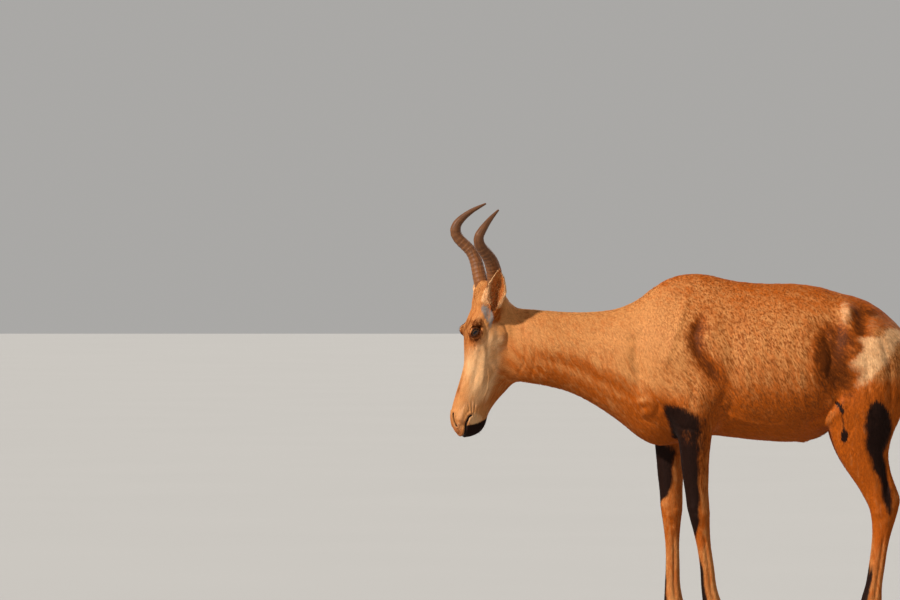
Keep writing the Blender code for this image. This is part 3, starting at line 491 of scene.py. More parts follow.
def new_mesh(name, points, faces, material=None, smooth=True):
    """A mesh object from points and faces of equal size, moved to its place."""
    faces = np.asarray(faces, np.int32)
    mesh = bpy.data.meshes.new(name)
    mesh.vertices.add(len(points))
    mesh.vertices.foreach_set("co", (np.asarray(points) + SHIFT).astype(np.float32).ravel())
    mesh.loops.add(faces.size)
    mesh.loops.foreach_set("vertex_index", faces.ravel())
    mesh.polygons.add(len(faces))
    mesh.polygons.foreach_set("loop_start", np.arange(0, faces.size, faces.shape[1], dtype=np.int32))
    mesh.polygons.foreach_set("loop_total", np.full(len(faces), faces.shape[1], np.int32))
    mesh.update(calc_edges=True)
    mesh.validate()
    mesh.polygons.foreach_set("use_smooth", np.full(len(mesh.polygons), smooth))
    if material:
        mesh.materials.append(material)
    made = bpy.data.objects.new(name, mesh)
    bpy.context.scene.collection.objects.link(made)
    return made


def values_of(items, name, width=1, kind=np.float32):
    """A property of all vertices, corners or faces of a mesh, as an array."""
    values = np.empty(len(items) * width, kind)
    items.foreach_get(name, values)
    return values.reshape(-1, width) if width > 1 else values


def points_of(mesh):
    return values_of(mesh.vertices, "co", 3).astype(float) - SHIFT


def normals_of(mesh):
    return values_of(mesh.vertices, "normal", 3).astype(float)


def move_points(mesh, points):
    mesh.vertices.foreach_set("co", (points + SHIFT).astype(np.float32).ravel())
    mesh.update()


def edit_mesh(made, change):
    bm = bmesh.new()
    bm.from_mesh(made.data)
    change(bm)
    bm.to_mesh(made.data)
    bm.free()


def turn_outward(bm):
    bmesh.ops.recalc_face_normals(bm, faces=bm.faces)


def close_ends(bm):
    """Fills the open ends of a tube, turns its faces outward and keeps the rim of a sole sharp."""
    bmesh.ops.holes_fill(bm, edges=[e for e in bm.edges if len(e.link_faces) == 1], sides=0)
    turn_outward(bm)
    for edge in bm.edges:
        if all(v.co.z < SOLE_FLAT for v in edge.verts) and any(len(f.verts) > 8 for f in edge.link_faces):
            edge.smooth = False


def ring_faces(rows, sides):
    """Quads between closed rings of points."""
    i, j = np.meshgrid(np.arange(rows - 1), np.arange(sides), indexing="ij")
    k = (j + 1) % sides
    low, high = i * sides, (i + 1) * sides
    return np.stack([low + j, low + k, high + k, high + j], -1).reshape(-1, 4)


def refine(made, wanted, field, rounds=2):
    """Cuts the faces near wanted places in four and lays the new points on the field."""
    pick = wanted(points_of(made.data))

    def cut(bm):
        edges = [e for e in bm.edges if pick[e.verts[0].index] and pick[e.verts[1].index]]
        bmesh.ops.subdivide_edges(bm, edges=edges, cuts=1, use_grid_fill=True)

    edit_mesh(made, cut)
    points = points_of(made.data)
    pick = wanted(points)
    points[pick] = onto_surface(field, points[pick], rounds)
    move_points(made.data, points)


def skin_mesh():
    """The skin in two meshing steps, bridged across the upper neck."""
    join = NECK_JOIN
    back, back_quads = band_net(skin_field, (join, -0.26, 0.015), (0.80, 0.26, 1.30), BODY_STEP)
    front, front_quads = band_net(skin_field, (join - 0.44, -0.26, 0.64), (join, 0.26, 1.29), HEAD_STEP)
    back = onto_surface(skin_field, back)
    front = onto_surface(skin_field, front)
    quads = np.concatenate([back_quads, front_quads + len(back)])
    made = new_mesh("skin", np.concatenate([back, front]), quads)

    def bridge(bm):
        bmesh.ops.bridge_loops(bm, edges=[e for e in bm.edges if len(e.link_faces) == 1])
        turn_outward(bm)
        for face in bm.faces:
            face.smooth = True

    edit_mesh(made, bridge)
    return made


# ------------------------------------------------------------------ muscles, folds and veins
# Lines seen from the side, as x and z: reach across the line, height (+) or depth (-), points.
SIDE_LINES = [
    (0.012, 0.004, [(-0.045, 1.2), (-0.085, 1.08), (-0.13, 0.95)]),  # spine of the blade
    # behind it
    (0.02, -0.0095, [(-0.004, 1.125), (-0.03, 1.058), (-0.016, 0.998), (0.026, 0.95), (0.06, 0.9)]),
    (0.03, 0.005, [(0.05, 1.13), (0.035, 1.05), (0.062, 0.985), (0.11, 0.93)]),  # first ribs
    (0.012, 0.0045, [(0.5, 1.17), (0.498, 1.135), (0.486, 1.1)]),  # edge of the hip bone
    (0.012, -0.005, [(0.385, 1.11), (0.425, 1.06), (0.44, 0.98), (0.425, 0.91)]),  # last rib to the flank
    (0.014, -0.005, [(0.078, 0.88), (0.06, 0.815), (0.03, 0.765), (-0.005, 0.735)]),  # under the triceps
    (0.012, -0.0035, [(-0.07, 0.98), (-0.03, 0.9), (-0.035, 0.82)]),  # between its heads
    (0.018, -0.0045, [(-0.56, 0.985), (-0.43, 0.945), (-0.31, 0.885), (-0.215, 0.835)]),  # throat groove
    (0.022, 0.004, [(-0.57, 1.03), (-0.43, 0.995), (-0.3, 0.94), (-0.2, 0.89)]),  # muscle above it
    (0.02, -0.0035, [(-0.52, 1.085), (-0.38, 1.06), (-0.26, 1.04), (-0.17, 1.06)]),  # under the crest
    (0.016, -0.0055, [(-0.222, 1.06), (-0.228, 0.97), (-0.205, 0.89), (-0.16, 0.83)]),  # before the shoulder
    (0.013, 0.0046, [(0.49, 0.85), (0.468, 0.8), (0.43, 0.758), (0.385, 0.728)]),  # fold of the flank
    (0.011, -0.0065, [(0.47, 0.855), (0.446, 0.812), (0.408, 0.775), (0.36, 0.755)]),  # hollow before it
    (0.02, 0.004, [(0.502, 1.14), (0.478, 1.01), (0.47, 0.9)]),  # front of the thigh
    (0.012, -0.005, [(0.606, 1.07), (0.64, 0.96), (0.646, 0.86), (0.632, 0.77)]),  # hamstring groove
    (0.01, -0.003, [(0.56, 0.99), (0.566, 0.88), (0.59, 0.77)]),
    (0.01, -0.0085, [(0.622, 0.69), (0.628, 0.62), (0.636, 0.555), (0.634, 0.515)]),  # before the hock tendon
    (0.006, 0.0022, [(0.54, 0.7), (0.566, 0.63), (0.592, 0.56), (0.598, 0.5)]),  # vein of the leg
    (0.009, 0.003, [(0.588, 0.5), (0.602, 0.47), (0.6, 0.44)]),  # bones of the hock
    (0.01, -0.0025, [(0.1, 0.76), (0.18, 0.742), (0.3, 0.738)]),  # edge of the belly
    (0.005, 0.002, [(0.09, 0.79), (0.15, 0.768), (0.22, 0.756), (0.3, 0.76)]),  # vein along it
]
# Hollows and lumps from the side: x, z, reach along and up, height.
SIDE_SPOTS = [
    (0.498, 1.142, 0.024, 0.04, 0.008),     # hip bone
    (0.552, 1.1, 0.032, 0.066, -0.012),     # behind it
    (0.458, 0.99, 0.038, 0.1, -0.015),      # flank
    (0.6, 1.1, 0.04, 0.035, 0.005),         # seat bone
    (-0.206, 0.832, 0.015, 0.011, 0.0055),  # lumps of the breast
    (-0.19, 0.797, 0.018, 0.013, 0.005),
    (-0.15, 0.812, 0.012, 0.02, -0.005),
    (0.086, 0.8, 0.016, 0.022, -0.005),     # behind the elbow
]
RIBS = [(0.150 + 0.046 * i, 0.0013 + 0.0001 * min(i, 4)) for i in range(7)]
# Bony knobs (+) and hollows (-) of knee and hock: reach in height, then height, front to back, and size.
LEG_KNOBS = {
    "fore": (0.014, [(0.470, -0.55, 0.0028), (0.438, -0.35, 0.0022), (0.452, 0.55, 0.0030),
                     (0.405, -0.1, -0.0018)]),
    "hind": (0.016, [(0.448, -0.45, 0.0026), (0.420, 0.10, 0.0026), (0.490, 0.15, -0.0030),
                     (0.395, 0.55, 0.0018)]),
}
# Short curved folds of the skin, from the side.
SKIN_FOLDS = [
    (0.006, -0.0014, [(-0.612, 1.1), (-0.598, 1.03), (-0.606, 0.965), (-0.628, 0.925)]),
    (0.006, -0.001, [(-0.584, 1.09), (-0.568, 1.02), (-0.574, 0.95), (-0.592, 0.905)]),
    (0.0065, -0.0007, [(-0.552, 1.06), (-0.54, 1.0), (-0.548, 0.925)]),
    (0.006, -0.0022, [(-0.25, 0.87), (-0.232, 0.815), (-0.205, 0.775), (-0.16, 0.755)]),
    (0.0055, -0.002, [(-0.14, 0.8), (-0.11, 0.765), (-0.07, 0.745), (-0.02, 0.74)]),
    (0.005, -0.0018, [(0.06, 0.78), (0.085, 0.745), (0.13, 0.722)]),
    (0.0045, -0.0036, [(0.459, 0.831), (0.47, 0.823), (0.477, 0.803)]),
    (0.004, -0.0016, [(0.477, 0.803), (0.48, 0.775), (0.485, 0.743)]),
    (0.005, 0.0016, [(0.476, 0.836), (0.486, 0.818), (0.488, 0.79), (0.495, 0.75)]),
    (0.005, -0.0016, [(0.52, 0.76), (0.506, 0.733), (0.495, 0.705)]),
]
# Lines on the head, as t and u.
FACE_LINES = [
    (0.0075, 0.0028, [(0.14, 0.01), (0.195, -0.01), (0.255, -0.022), (0.3, -0.028)]),  # facial crest
    (0.009, -0.003, [(0.175, 0.012), (0.235, 0.006), (0.3, 0.004)]),  # above it
    (0.009, -0.004, [(0.205, -0.026), (0.238, -0.06), (0.244, -0.1), (0.262, -0.132)]),  # edge of the cheek
    (0.0065, -0.004, [(0.066, -0.05), (0.1, -0.068), (0.14, -0.078), (0.17, -0.098)]),  # behind the jaw
    (0.008, -0.0022, [(0.27, -0.112), (0.32, -0.094), (0.37, -0.076)]),  # over the jaw bone
    (0.003, 0.0014, [(0.345, -0.046), (0.3, -0.052), (0.255, -0.044), (0.215, -0.024)]),  # face vein
    (0.0028, 0.0011, [(0.3, -0.052), (0.28, -0.078), (0.262, -0.11)]),
    (0.008, 0.003, [(0.06, 0.05), (0.03, 0.044), (0.0, 0.036)]),  # ridge to the stalk
    (0.005, -0.002, [(0.068, 0.03), (0.085, 0.018), (0.108, 0.008)]),  # behind the brow
    (0.0026, -0.002, [(0.352, -0.006), (0.372, -0.01), (0.394, -0.015)]),  # muzzle wrinkles
    (0.0026, -0.002, [(0.356, -0.02), (0.378, -0.022), (0.402, -0.022)]),
    (0.0024, -0.0014, [(0.36, 0.006), (0.376, -0.001), (0.392, -0.004)]),
    (0.0024, -0.0012, [(0.372, -0.034), (0.392, -0.036), (0.412, -0.035)]),
    (0.008, 0.0022, [(0.392, 0.016), (0.41, 0.02), (0.432, 0.018)]),  # swell of the upper lip
]
MOUTH = [(0.480, -0.0140), (0.463, -0.0105), (0.4477, -0.0070), (0.4261, -0.0030), (0.4080, -0.0060),
         (0.4000, -0.0130)]
# A nostril as t and distance from the middle of the face.
NOSTRIL = [(0.408, 0.0128), (0.420, 0.0135), (0.434, 0.0165), (0.446, 0.0212)]
GLAND = [(0.163, 0.031), (0.176, 0.026)]         # the small gland before the eye


def line_distance(p, q, line):
    """Distance of points (p, q) to a line of points, and how far along it they are, 0 to 1."""
    line = np.array(line, float)
    lengths = np.linalg.norm(np.diff(line, axis=0), axis=1)
    starts = np.concatenate([[0], np.cumsum(lengths)])
    best = np.full(p.shape, 9.0)
    along = np.zeros(p.shape)
    for i, length in enumerate(lengths):
        way = (line[i + 1] - line[i]) / length
        t = np.clip((p - line[i, 0]) * way[0] + (q - line[i, 1]) * way[1], 0, length)
        gone = np.hypot(p - line[i, 0] - t * way[0], q - line[i, 1] - t * way[1])
        along = np.where(gone < best, (starts[i] + t) / starts[-1], along)
        best = np.minimum(best, gone)
    return best, along


def soft_line(p, q, reach, line):
    """1 on a line, fading over reach to its sides and towards its ends."""
    gone, along = line_distance(p, q, line)
    return bell(gone, 0, reach) * np.clip(4 * np.minimum(along, 1 - along) + 0.35, 0, 1)


def soft_spot(p, q, at):
    return bell(p, at[0], at[2]) * bell(q, at[1], at[3])


def leg_place(name, x, y, z):
    """Place round a leg: -1 at its front to 1 at its back, and 1 on its outer side to -1 on the inner."""
    shape, line, side, stagger = LEG_CURVES[name]
    depth, half = read(shape, z)
    middle, off = read(line, z)
    return (x - middle - leg_shift(z, stagger)) / (depth / 2), side * (y - side * off) / half


def leg_detail(name, f, s, h):
    """The same for one leg: tendon grooves, knobs of knee or hock, fetlock and the cleft over the claws."""
    flat = blend_step(0.35, 0.75, np.abs(s))
    cannon = blend_step(0.135, 0.175, h) * blend_step(0.400, 0.340, h)
    detail = (0.0012 * bell(f, 0.62, 0.18) - 0.0042 * bell(f, 0.18, 0.16)) * cannon * flat
    detail += 0.0030 * bell(h, 0.121, 0.013) * bell(f, 0.15, 0.45) * flat
    detail -= 0.0065 * bell(s, 0, 0.20) * blend_step(0.088, 0.060, h) * blend_step(0.3, 0.8, np.abs(f))
    detail -= 0.0020 * bell(h, 0.086, 0.009) * blend_step(0.1, 0.8, f)
    reach, knobs = LEG_KNOBS[name[:4]]
    for at, front, height in knobs:
        knob = height * bell(h, at, reach) * bell(f, front, 0.35)
        detail += knob * flat if name.startswith("hind") else knob
    return detail


def body_detail(points, normals):
    """How far the skin of trunk, neck and legs stands out over the plain form."""
    x, y, z = points.T
    side = blend_step(0.25, 0.65, np.abs(normals[:, 1]))
    out = np.zeros(len(points))
    for reach, height, line in SIDE_LINES + SKIN_FOLDS:
        out += height * side * soft_line(x, z, reach, line)
    for *spot_at, height in SIDE_SPOTS:
        out += height * side * soft_spot(x, z, spot_at)
    for at, height in RIBS:
        rib = [(at + 0.028, 1.120), (at, 1.000), (at - 0.004, 0.900), (at + 0.022, 0.800)]
        out += height * side * soft_line(x, z, 0.0125, rib)
    spine = np.cos(2 * np.pi * x / 0.052) * bell(y, 0, 0.016) * blend_step(0.6, 0.9, normals[:, 2])
    out += 0.0004 * spine * blend_step(0.05, 0.15, x)
    for name in LEG_CURVES:
        mine = (y * LEG_CURVES[name][2] > 0.01) & (z < 0.60) & ((x > 0.3) == name.startswith("hind"))
        out[mine] += leg_detail(name, *leg_place(name, x[mine], y[mine], z[mine]), z[mine])
    # the sheath under the belly, and its opening
    sheath = bell(x, 0.400, 0.060) * bell(y, 0, 0.022) * blend_step(-0.3, -0.8, normals[:, 2])
    tip = bell(x, 0.352, 0.016) * bell(y, 0, 0.014) * blend_step(-0.2, -0.7, normals[:, 2])
    out += 0.008 * sheath + 0.005 * tip
    return out


def before_mouth(t, u):
    """How far a place is in front of the line of the mouth."""
    return u - np.interp(t, *np.array(MOUTH[::-1]).T)


def face_detail(points, normals):
    """The same for the head."""
    t, u, l = to_head(*points.T)
    side = blend_step(0.25, 0.60, np.abs(normals @ FACE_LEFT)) * blend_step(0.010, 0.022, np.abs(l))
    out = np.zeros(len(points))
    for reach, height, line in FACE_LINES:
        out += height * side * soft_line(t, u, reach, line)
    gone, _ = line_distance(t, u, MOUTH)
    out -= 0.0056 * bell(gone, 0, 0.0032)
    ahead = before_mouth(t, u)
    out += (0.0026 * (ahead > 0) + 0.0010 * (ahead < 0)) * bell(gone, 0.0078, 0.0046)
    gone, along = line_distance(t, np.abs(l), NOSTRIL)
    front = blend_step(0.012, 0.020, u) * blend_step(0.0, 0.25, normals @ FACE_FRONT)
    width = 0.0018 + 0.0026 * np.sin(np.pi * np.clip(along, 0, 1)) ** 0.7
    out -= 0.0095 * front * blend_step(width * 1.25, width * 0.45, gone)
    out += 0.0022 * front * bell(gone, 0.0068, 0.0032)
    gone, _ = line_distance(t, u, GLAND)
    out += side * (0.0014 * bell(gone, 0, 0.0090) - 0.0026 * bell(gone, 0, 0.0024))
    out -= 0.0014 * bell(l, 0, 0.0016) * blend_step(0.442, 0.456, t) * blend_step(-0.004, 0.004, u)
    return out


# ------------------------------------------------------------------ eyes and lids
LID_THICK = 0.0024
LASH_ROOT = 0.0017           # over the ball
EYE_HALF = 0.0156            # half the length of the opening between the lids
LID_UP, LID_DOWN = 0.0094, 0.0070


def eye_frame(side):
    """Middle of the eyeball, and axes along the lids, up to the brow and outward, in the head frame."""
    middle = np.array([EYE_AT[0], EYE_AT[1], side * EYE_AT[2]])
    outward = np.array([0.02, 0.36, side * 0.93])
    outward /= np.linalg.norm(outward)
    along = np.array([0.80, 0.58, 0.0])
    along -= (along @ outward) * outward
    along /= np.linalg.norm(along)
    brow = np.cross(outward, along)
    brow *= -np.sign(brow[0])
    return middle, along, brow, outward


def lid_edge(a, up):
    """How far the edge of a lid is from the line between the corners of the eye."""
    share = np.clip(1 - (a / EYE_HALF) ** 2, 0, 1)
    lean = 1 - 0.16 * a / EYE_HALF if up else 1 + 0.12 * a / EYE_HALF
    return (LID_UP if up else LID_DOWN) * lean * share**0.72


def lay_lids(points):
    """Moves the skin round each eye, so that it makes two lids over the ball and a socket behind them."""
    head = head_places(points)
    for side in (1, -1):
        middle, along, brow, outward = eye_frame(side)
        gone = head - middle
        a, b, c = gone @ along, gone @ brow, gone @ outward
        near = (c > 0.002) & (np.hypot(a, b) < 0.042)
        a, b, c = a[near], b[near], c[near]
        upper = blend_step(-0.004, 0.004, b)
        edge = np.where(b > 0, lid_edge(a, True), lid_edge(a, False))
        beyond = np.hypot(np.maximum(np.abs(a) - EYE_HALF, 0), np.abs(b))
        e = np.where(np.abs(a) < EYE_HALF, np.abs(b) - edge, beyond)
        ball = np.sqrt(np.maximum(EYE_RADIUS**2 - a**2 - b**2, 1e-6))
        cover = np.sqrt(np.maximum((EYE_RADIUS + LID_THICK) ** 2 - a**2 - b**2, 1e-6))
        corner = 1 - 0.6 * blend_step(0.6, 1.1, np.abs(a) / EYE_HALF)
        high = 0.0012 * bell(e, 0.0130, 0.0030) - 0.0026 * bell(e, 0.0085, 0.0022)
        low = 0.0007 * bell(e, 0.0100, 0.0025) - 0.0015 * bell(e, 0.0066, 0.0018)
        fold = (high * upper + low * (1 - upper)) * corner + 0.0007 * bell(e, 0.0016, 0.0014)
        away = blend_step(0.0035, 0.0165, e)
        lid = cover * (1 - away) + c * away
        over = blend_step(0.0238, 0.0222, np.hypot(a, b))
        lid = lid + (smooth_max(lid, cover - 0.0004, 0.003) - lid) * over + fold * blend_step(0.030, 0.018, e)
        floor = np.minimum(ball - 0.0040, cover)
        c_new = lid + (floor - lid) * blend_step(0.0004, -0.0016, e)
        head[near] += (c_new - c)[:, None] * outward
    return world_of(head)


def near_eyes(points, reach):
    head = head_places(points)
    found = np.zeros(len(points), bool)
    for side in (1, -1):
        middle, _, _, outward = eye_frame(side)
        found |= np.linalg.norm(head - middle - outward * EYE_RADIUS, axis=1) < reach
    return found


def fine_face(points):
    """Where the skin needs its finest faces: round the eyes, nostrils, lips and glands."""
    t, u, l = to_head(*points.T)
    face = near_eyes(points, 0.034)
    on_head = (np.abs(l) < 0.08) & (t > 0.10) & (t < 0.50) & (u > -0.10)
    for line, reach in ((MOUTH, 0.012), (GLAND, 0.010)):
        face |= on_head & (line_distance(t, u, line)[0] < reach)
    return face | on_head & (u > 0.0) & (line_distance(t, np.abs(l), NOSTRIL)[0] < 0.013)


# ------------------------------------------------------------------ ears
EAR_OUTLINE = ([0, 0.12, 0.22, 0.32, 0.45, 0.60, 0.74, 0.86, 0.95, 1.0],
               [0.0160, 0.0178, 0.0212, 0.0272, 0.0318, 0.0318, 0.0258, 0.0172, 0.0088, 0.0020])
EAR_ROLL = ([0, 0.15, 0.35, 0.6, 1.0], [150, 140, 100, 78, 55])


def ear_axes(spec):
    """Root, length, the way to the tip, the way the cup opens, and across, in the head frame."""
    root, tip, opening = (np.array(p, float) for p in spec)
    length = np.linalg.norm(tip - root)
    way = (tip - root) / length
    face = opening - (opening @ way) * way
    face /= np.linalg.norm(face)
    return root, length, way, face, np.cross(way, face)


def ear_points(spec, v, w, layer):
    """Points of an ear in the head frame: v from root to tip, w from edge to edge, layer 1 out, -1 in."""
    root, length, way, face, side = ear_axes(spec)
    wide = smooth_read(*EAR_OUTLINE, v) - 0.0006
    roll = np.radians(smooth_read(*EAR_ROLL, v))
    radius = wide / np.sin(np.minimum(roll, np.pi / 2))
    edge = 1 - 0.72 * np.abs(w) ** 5
    thick = (EAR_THICK - 0.0012) * np.interp(v, [0, 0.5, 1.0], [1.2, 1.0, 0.55]) * edge
    ripple = 0.0011 * np.sin(19 * v + 2 * w) * np.abs(w) ** 3
    ripple += 0.0006 * np.sin(37 * v - 3 * w) * np.abs(w) ** 4
    ribs = 0.0010 * sum(bell(w, at, 0.07) for at in (-0.42, -0.08, 0.28)) * (layer < 0)
    ribs = ribs * blend_step(0.15, 0.3, v) * blend_step(0.95, 0.6, v)
    curl = -0.0018 * blend_step(0.80, 1.0, np.abs(w)) * blend_step(0.2, 0.5, v)
    ray = np.sin(roll * w)[:, None] * side - np.cos(roll * w)[:, None] * face
    reach = radius + layer * thick / 2 + ripple - ribs + curl
    middle = root + (v * length)[:, None] * way
    middle = middle + (0.010 * np.sin(np.pi * v) + radius - wide)[:, None] * face
    return middle + reach[:, None] * ray


def ear_mesh(spec, across=44, along=64, end=0.985):
    """A closed, cupped leaf: outside, over the edge, inside and back."""
    v_at = end * np.linspace(0, 1, along + 1) ** 0.9
    w_at = np.sin(np.pi / 2 * np.linspace(-1, 1, across + 1))
    v, w = np.meshgrid(v_at, w_at, indexing="ij")
    outer, inner = (ear_points(spec, v.ravel(), w.ravel(), layer).reshape(along + 1, across + 1, 3)
                    for layer in (1, -1))
    loops = np.concatenate([outer, inner[:, ::-1]], axis=1)
    count = loops.shape[1]
    faces = [ring_faces(along + 1, count)]
    for end_row in (0, along):
        base = end_row * count
        j = np.arange(across)
        cap = np.stack([base + j, base + j + 1, base + count - 2 - j, base + count - 1 - j], 1)
        faces.append(cap if end_row else cap[:, ::-1])
    return world_of(loops.reshape(-1, 3)), np.concatenate(faces)


def join_ears(skin):
    """The ears become one body with the skin."""
    for spec in EARS.values():
        leaf = new_mesh("leaf", *ear_mesh(spec))
        edit_mesh(leaf, turn_outward)
        modifier = skin.modifiers.new("join", "BOOLEAN")
        modifier.operation = "UNION"
        modifier.solver = "EXACT"
        modifier.object = leaf
        graph = bpy.context.evaluated_depsgraph_get()
        mesh = bpy.data.meshes.new_from_object(skin.evaluated_get(graph))
        skin.modifiers.clear()
        skin.data = mesh
        bpy.data.objects.remove(leaf)


# ------------------------------------------------------------------ markings of skin and coat
RUMP_PATCH = [(0.505, 1.040), (0.512, 0.985), (0.527, 0.930), (0.556, 0.876), (0.600, 0.918), (0.640, 0.965),
              (0.692, 1.032), (0.714, 1.078), (0.640, 1.086), (0.560, 1.074), (0.520, 1.060)]
# Foreleg: height and how far back the black reaches on its outer and its inner side, as in leg_place.
FORE_BLACK = [(0.02, -0.10), (0.12, -0.45), (0.20, -0.50), (0.28, -0.66), (0.33, -0.95), (0.38, -0.70),
              (0.42, -0.25), (0.48, 0.00), (0.54, 0.25), (0.62, 0.28), (0.68, 0.22), (0.74, 0.30),
              (0.785, 0.22), (0.815, -0.20), (0.840, -1.00)]
FORE_BLACK_INNER = [(0.02, -0.30), (0.12, -0.60), (0.22, -0.85), (0.30, -1.30), (0.48, -1.30), (0.505, -0.30),
                    (0.54, 0.05), (0.60, 0.15), (0.68, 0.30), (0.80, 0.30)]
# Hind leg, outer side: height, middle and half width of the black patch.
THIGH_BLACK = [(0.440, 0.642, -0.010), (0.465, 0.641, 0.011), (0.490, 0.637, 0.018), (0.543, 0.628, 0.013),
               (0.583, 0.6215, 0.0150), (0.607, 0.611, 0.021), (0.655, 0.601, 0.030), (0.7025, 0.597, 0.042),
               (0.7506, 0.600, 0.048), (0.7984, 0.595, 0.038), (0.828, 0.593, 0.022), (0.848, 0.593, -0.012)]
# Painted shadows in the fold of the flank: a dark slit, the thin line that runs on from it, and the dark oval
# at its end.
FLANK_SLIT_SHADOW = [(0.459, 0.831), (0.470, 0.823), (0.477, 0.803)]
FLANK_LINE_SHADOW = [(0.477, 0.803), (0.4795, 0.775), (0.4853, 0.7434)]
FLANK_OVAL_SHADOW = (0.4853, 0.7206, 0.0125, 0.0240)
# Painted shade in the hollows of flank and rump, partly over darker hair: x, z, reach along and up, strength.
HOLLOW_SHADES = [
    (0.412, 0.985, 0.040, 0.092, 1.10),
    (0.482, 0.960, 0.048, 0.092, 1.00),
    (0.465, 1.062, 0.050, 0.036, 0.80),
    (0.542, 1.100, 0.026, 0.072, 1.15),
    (0.588, 1.142, 0.020, 0.014, 0.80),
    (0.620, 1.130, 0.060, 0.034, 0.50),
]
# Soft patches of the face, as t, u and reach along each.
EYE_PATCH = (0.114, 0.050, 0.041, 0.034)
# painted sheen: black hair at the ear root, painted grey where it shines
GREY_SHEEN_PATCH = (0.054, 0.0165, 0.037, 0.0160)
LIP_PATCH = (0.412, -0.034, 0.024, 0.030)
# cheek patch: paler hair, partly painted sunlight
CHEEK_PALE_AND_SUNLIT = (0.225, -0.020, 0.150, 0.068)
BROW_PATCH = (0.112, 0.0, 0.042, 0.050)        # as t and l
# The same of the body, as x and z.
# painted highlight on the hip bone, partly paler worn hair
HIP_HIGHLIGHT_AND_WEAR = (0.492, 1.140, 0.022, 0.050)
RUMP_MOTTLE = (0.625, 1.098, 0.075, 0.040)
# painted shade along the crease behind the shoulder blade
BLADE_CREASE_SHADE = [(0.004, 1.135), (-0.030, 1.058), (-0.014, 0.998), (0.026, 0.950), (0.064, 0.885)]
OUTLINE_SOFT = 0.011         # rounding of the corners of an outline
PART_SOFT = 0.022            # how softly trunk, legs and head run into each other


def inside_outline(p, q, outline, soft):
    """1 well inside a convex outline, given clockwise or not, to 0 outside it."""
    middle = np.mean(outline, 0)
    total = np.zeros(p.shape)
    for (ax, ay), (bx, by) in zip(outline, outline[1:] + outline[:1]):
        nx, ny = by - ay, ax - bx
        length = np.hypot(nx, ny) * np.sign((middle[0] - ax) * nx + (middle[1] - ay) * ny)
        total += np.exp(-np.clip(((p - ax) * nx + (q - ay) * ny) / length, -0.2, 0.5) / OUTLINE_SOFT)
    return blend_step(-soft, soft, -OUTLINE_SOFT * np.log(total))


def spot(p, q, at):
    return np.sqrt(((p - at[0]) / at[2]) ** 2 + ((q - at[1]) / at[3]) ** 2)


def ear_place(spec, head):
    """Along an ear from root to tip, across it in half widths, and how far off its axis."""
    root, length, way, _, side = ear_axes(spec)
    gone = head - root
    v = gone @ way / length
    wide = np.maximum(smooth_read(*EAR_OUTLINE, np.clip(v, 0, 1)), 0.004)
    off = np.linalg.norm(gone - np.outer(gone @ way, way), axis=1)
    return v, gone @ side / wide, off


def ear_facing(spec, normals):
    """1 where the skin faces the way the cup of the ear opens."""
    return normals @ (ear_axes(spec)[3] @ HEAD_AXES)


def parts_of(points):
    """How near each point is to trunk, the four legs and head: fields and soft shares."""
    x, y, z = points.T
    fields = [trunk_field(x, y, z)] + [leg_field(name, x, y, z) for name in LEG_CURVES]
    fields.append(skin_head_field(*to_head(x, y, z)))
    fields = np.stack(fields, 1)
    share = np.exp(-np.clip(fields, -0.2, 0.4) / PART_SOFT)
    return fields, share / share.sum(1, keepdims=True)


def lid_distance(head, side):
    """Distance over the edges of the lids, and place outward from the middle of the eye."""
    middle, along, brow, outward = eye_frame(side)
    gone = head - middle
    a, b, c = gone @ along, gone @ brow, gone @ outward
    edge = np.where(b > 0, lid_edge(a, True), lid_edge(a, False))
    e = np.where(np.abs(a) < EYE_HALF, np.abs(b) - edge, np.hypot(np.abs(a) - EYE_HALF, b))
    return e, c, np.linalg.norm(gone, axis=1)


def leg_black(name, x, y, z, wave):
    """The black of one leg, and on a hind leg the painted shadows in the fold of the flank above it."""
    side = LEG_CURVES[name][2]
    f, s = leg_place(name, x, y, z)
    mine = blend_step(0.0, 0.02, y * side)
    if name.startswith("fore"):
        outer = blend_step(-0.6, 0.6, s)
        edge = np.interp(z, *np.array(FORE_BLACK).T) * outer
        edge = edge + np.interp(z, *np.array(FORE_BLACK_INNER).T) * (1 - outer)
        mine = mine * blend_step(0.16, 0.12, np.abs(x + 0.03)) * blend_step(-1.3, -0.8, s + (z < 0.66))
        soft = 0.28 + 0.34 * blend_step(0.60, 0.70, z)
        mine = mine * blend_step(0.862, 0.792, z + 2 * wave) * blend_step(-1.50, -1.12, f)
        brown = blend_step(1.3, 0.5, spot(f, z, (-0.50, 0.715, 0.36, 0.034)))
        return mine * blend_step(soft, -soft, f - edge - 9 * wave) * (1 - 0.26 * brown)
    heights, middles, halves = np.array(THIGH_BLACK).T
    half = np.interp(z, heights, halves)
    patch = blend_step(0.018, -0.018, np.abs(x - np.interp(z, heights, middles)) - half + 0.6 * wave)
    patch = patch * blend_step(0.0, 0.35, s) * blend_step(0.02, 0.05, x - 0.45) * (half > -0.009)
    front = blend_step(0.25, -0.15, f + 0.62 + 8 * wave) * blend_step(0.31, 0.22, z) * (x > 0.4)
    # painted shadows in the fold of the flank: oval, slit and thin line
    oval_shadow = blend_step(1.15, 0.85, spot(x, z, FLANK_OVAL_SHADOW))
    slit_shadow = blend_step(0.0080, 0.0045, line_distance(x, z, FLANK_SLIT_SHADOW)[0])
    thin = 0.65 * blend_step(0.0046, 0.0022, line_distance(x, z, FLANK_LINE_SHADOW)[0])
    fold_shadows = np.maximum(oval_shadow, np.maximum(slit_shadow, thin)) * (s > 0.2)
    return mine * np.maximum(np.maximum(patch, front), fold_shadows)


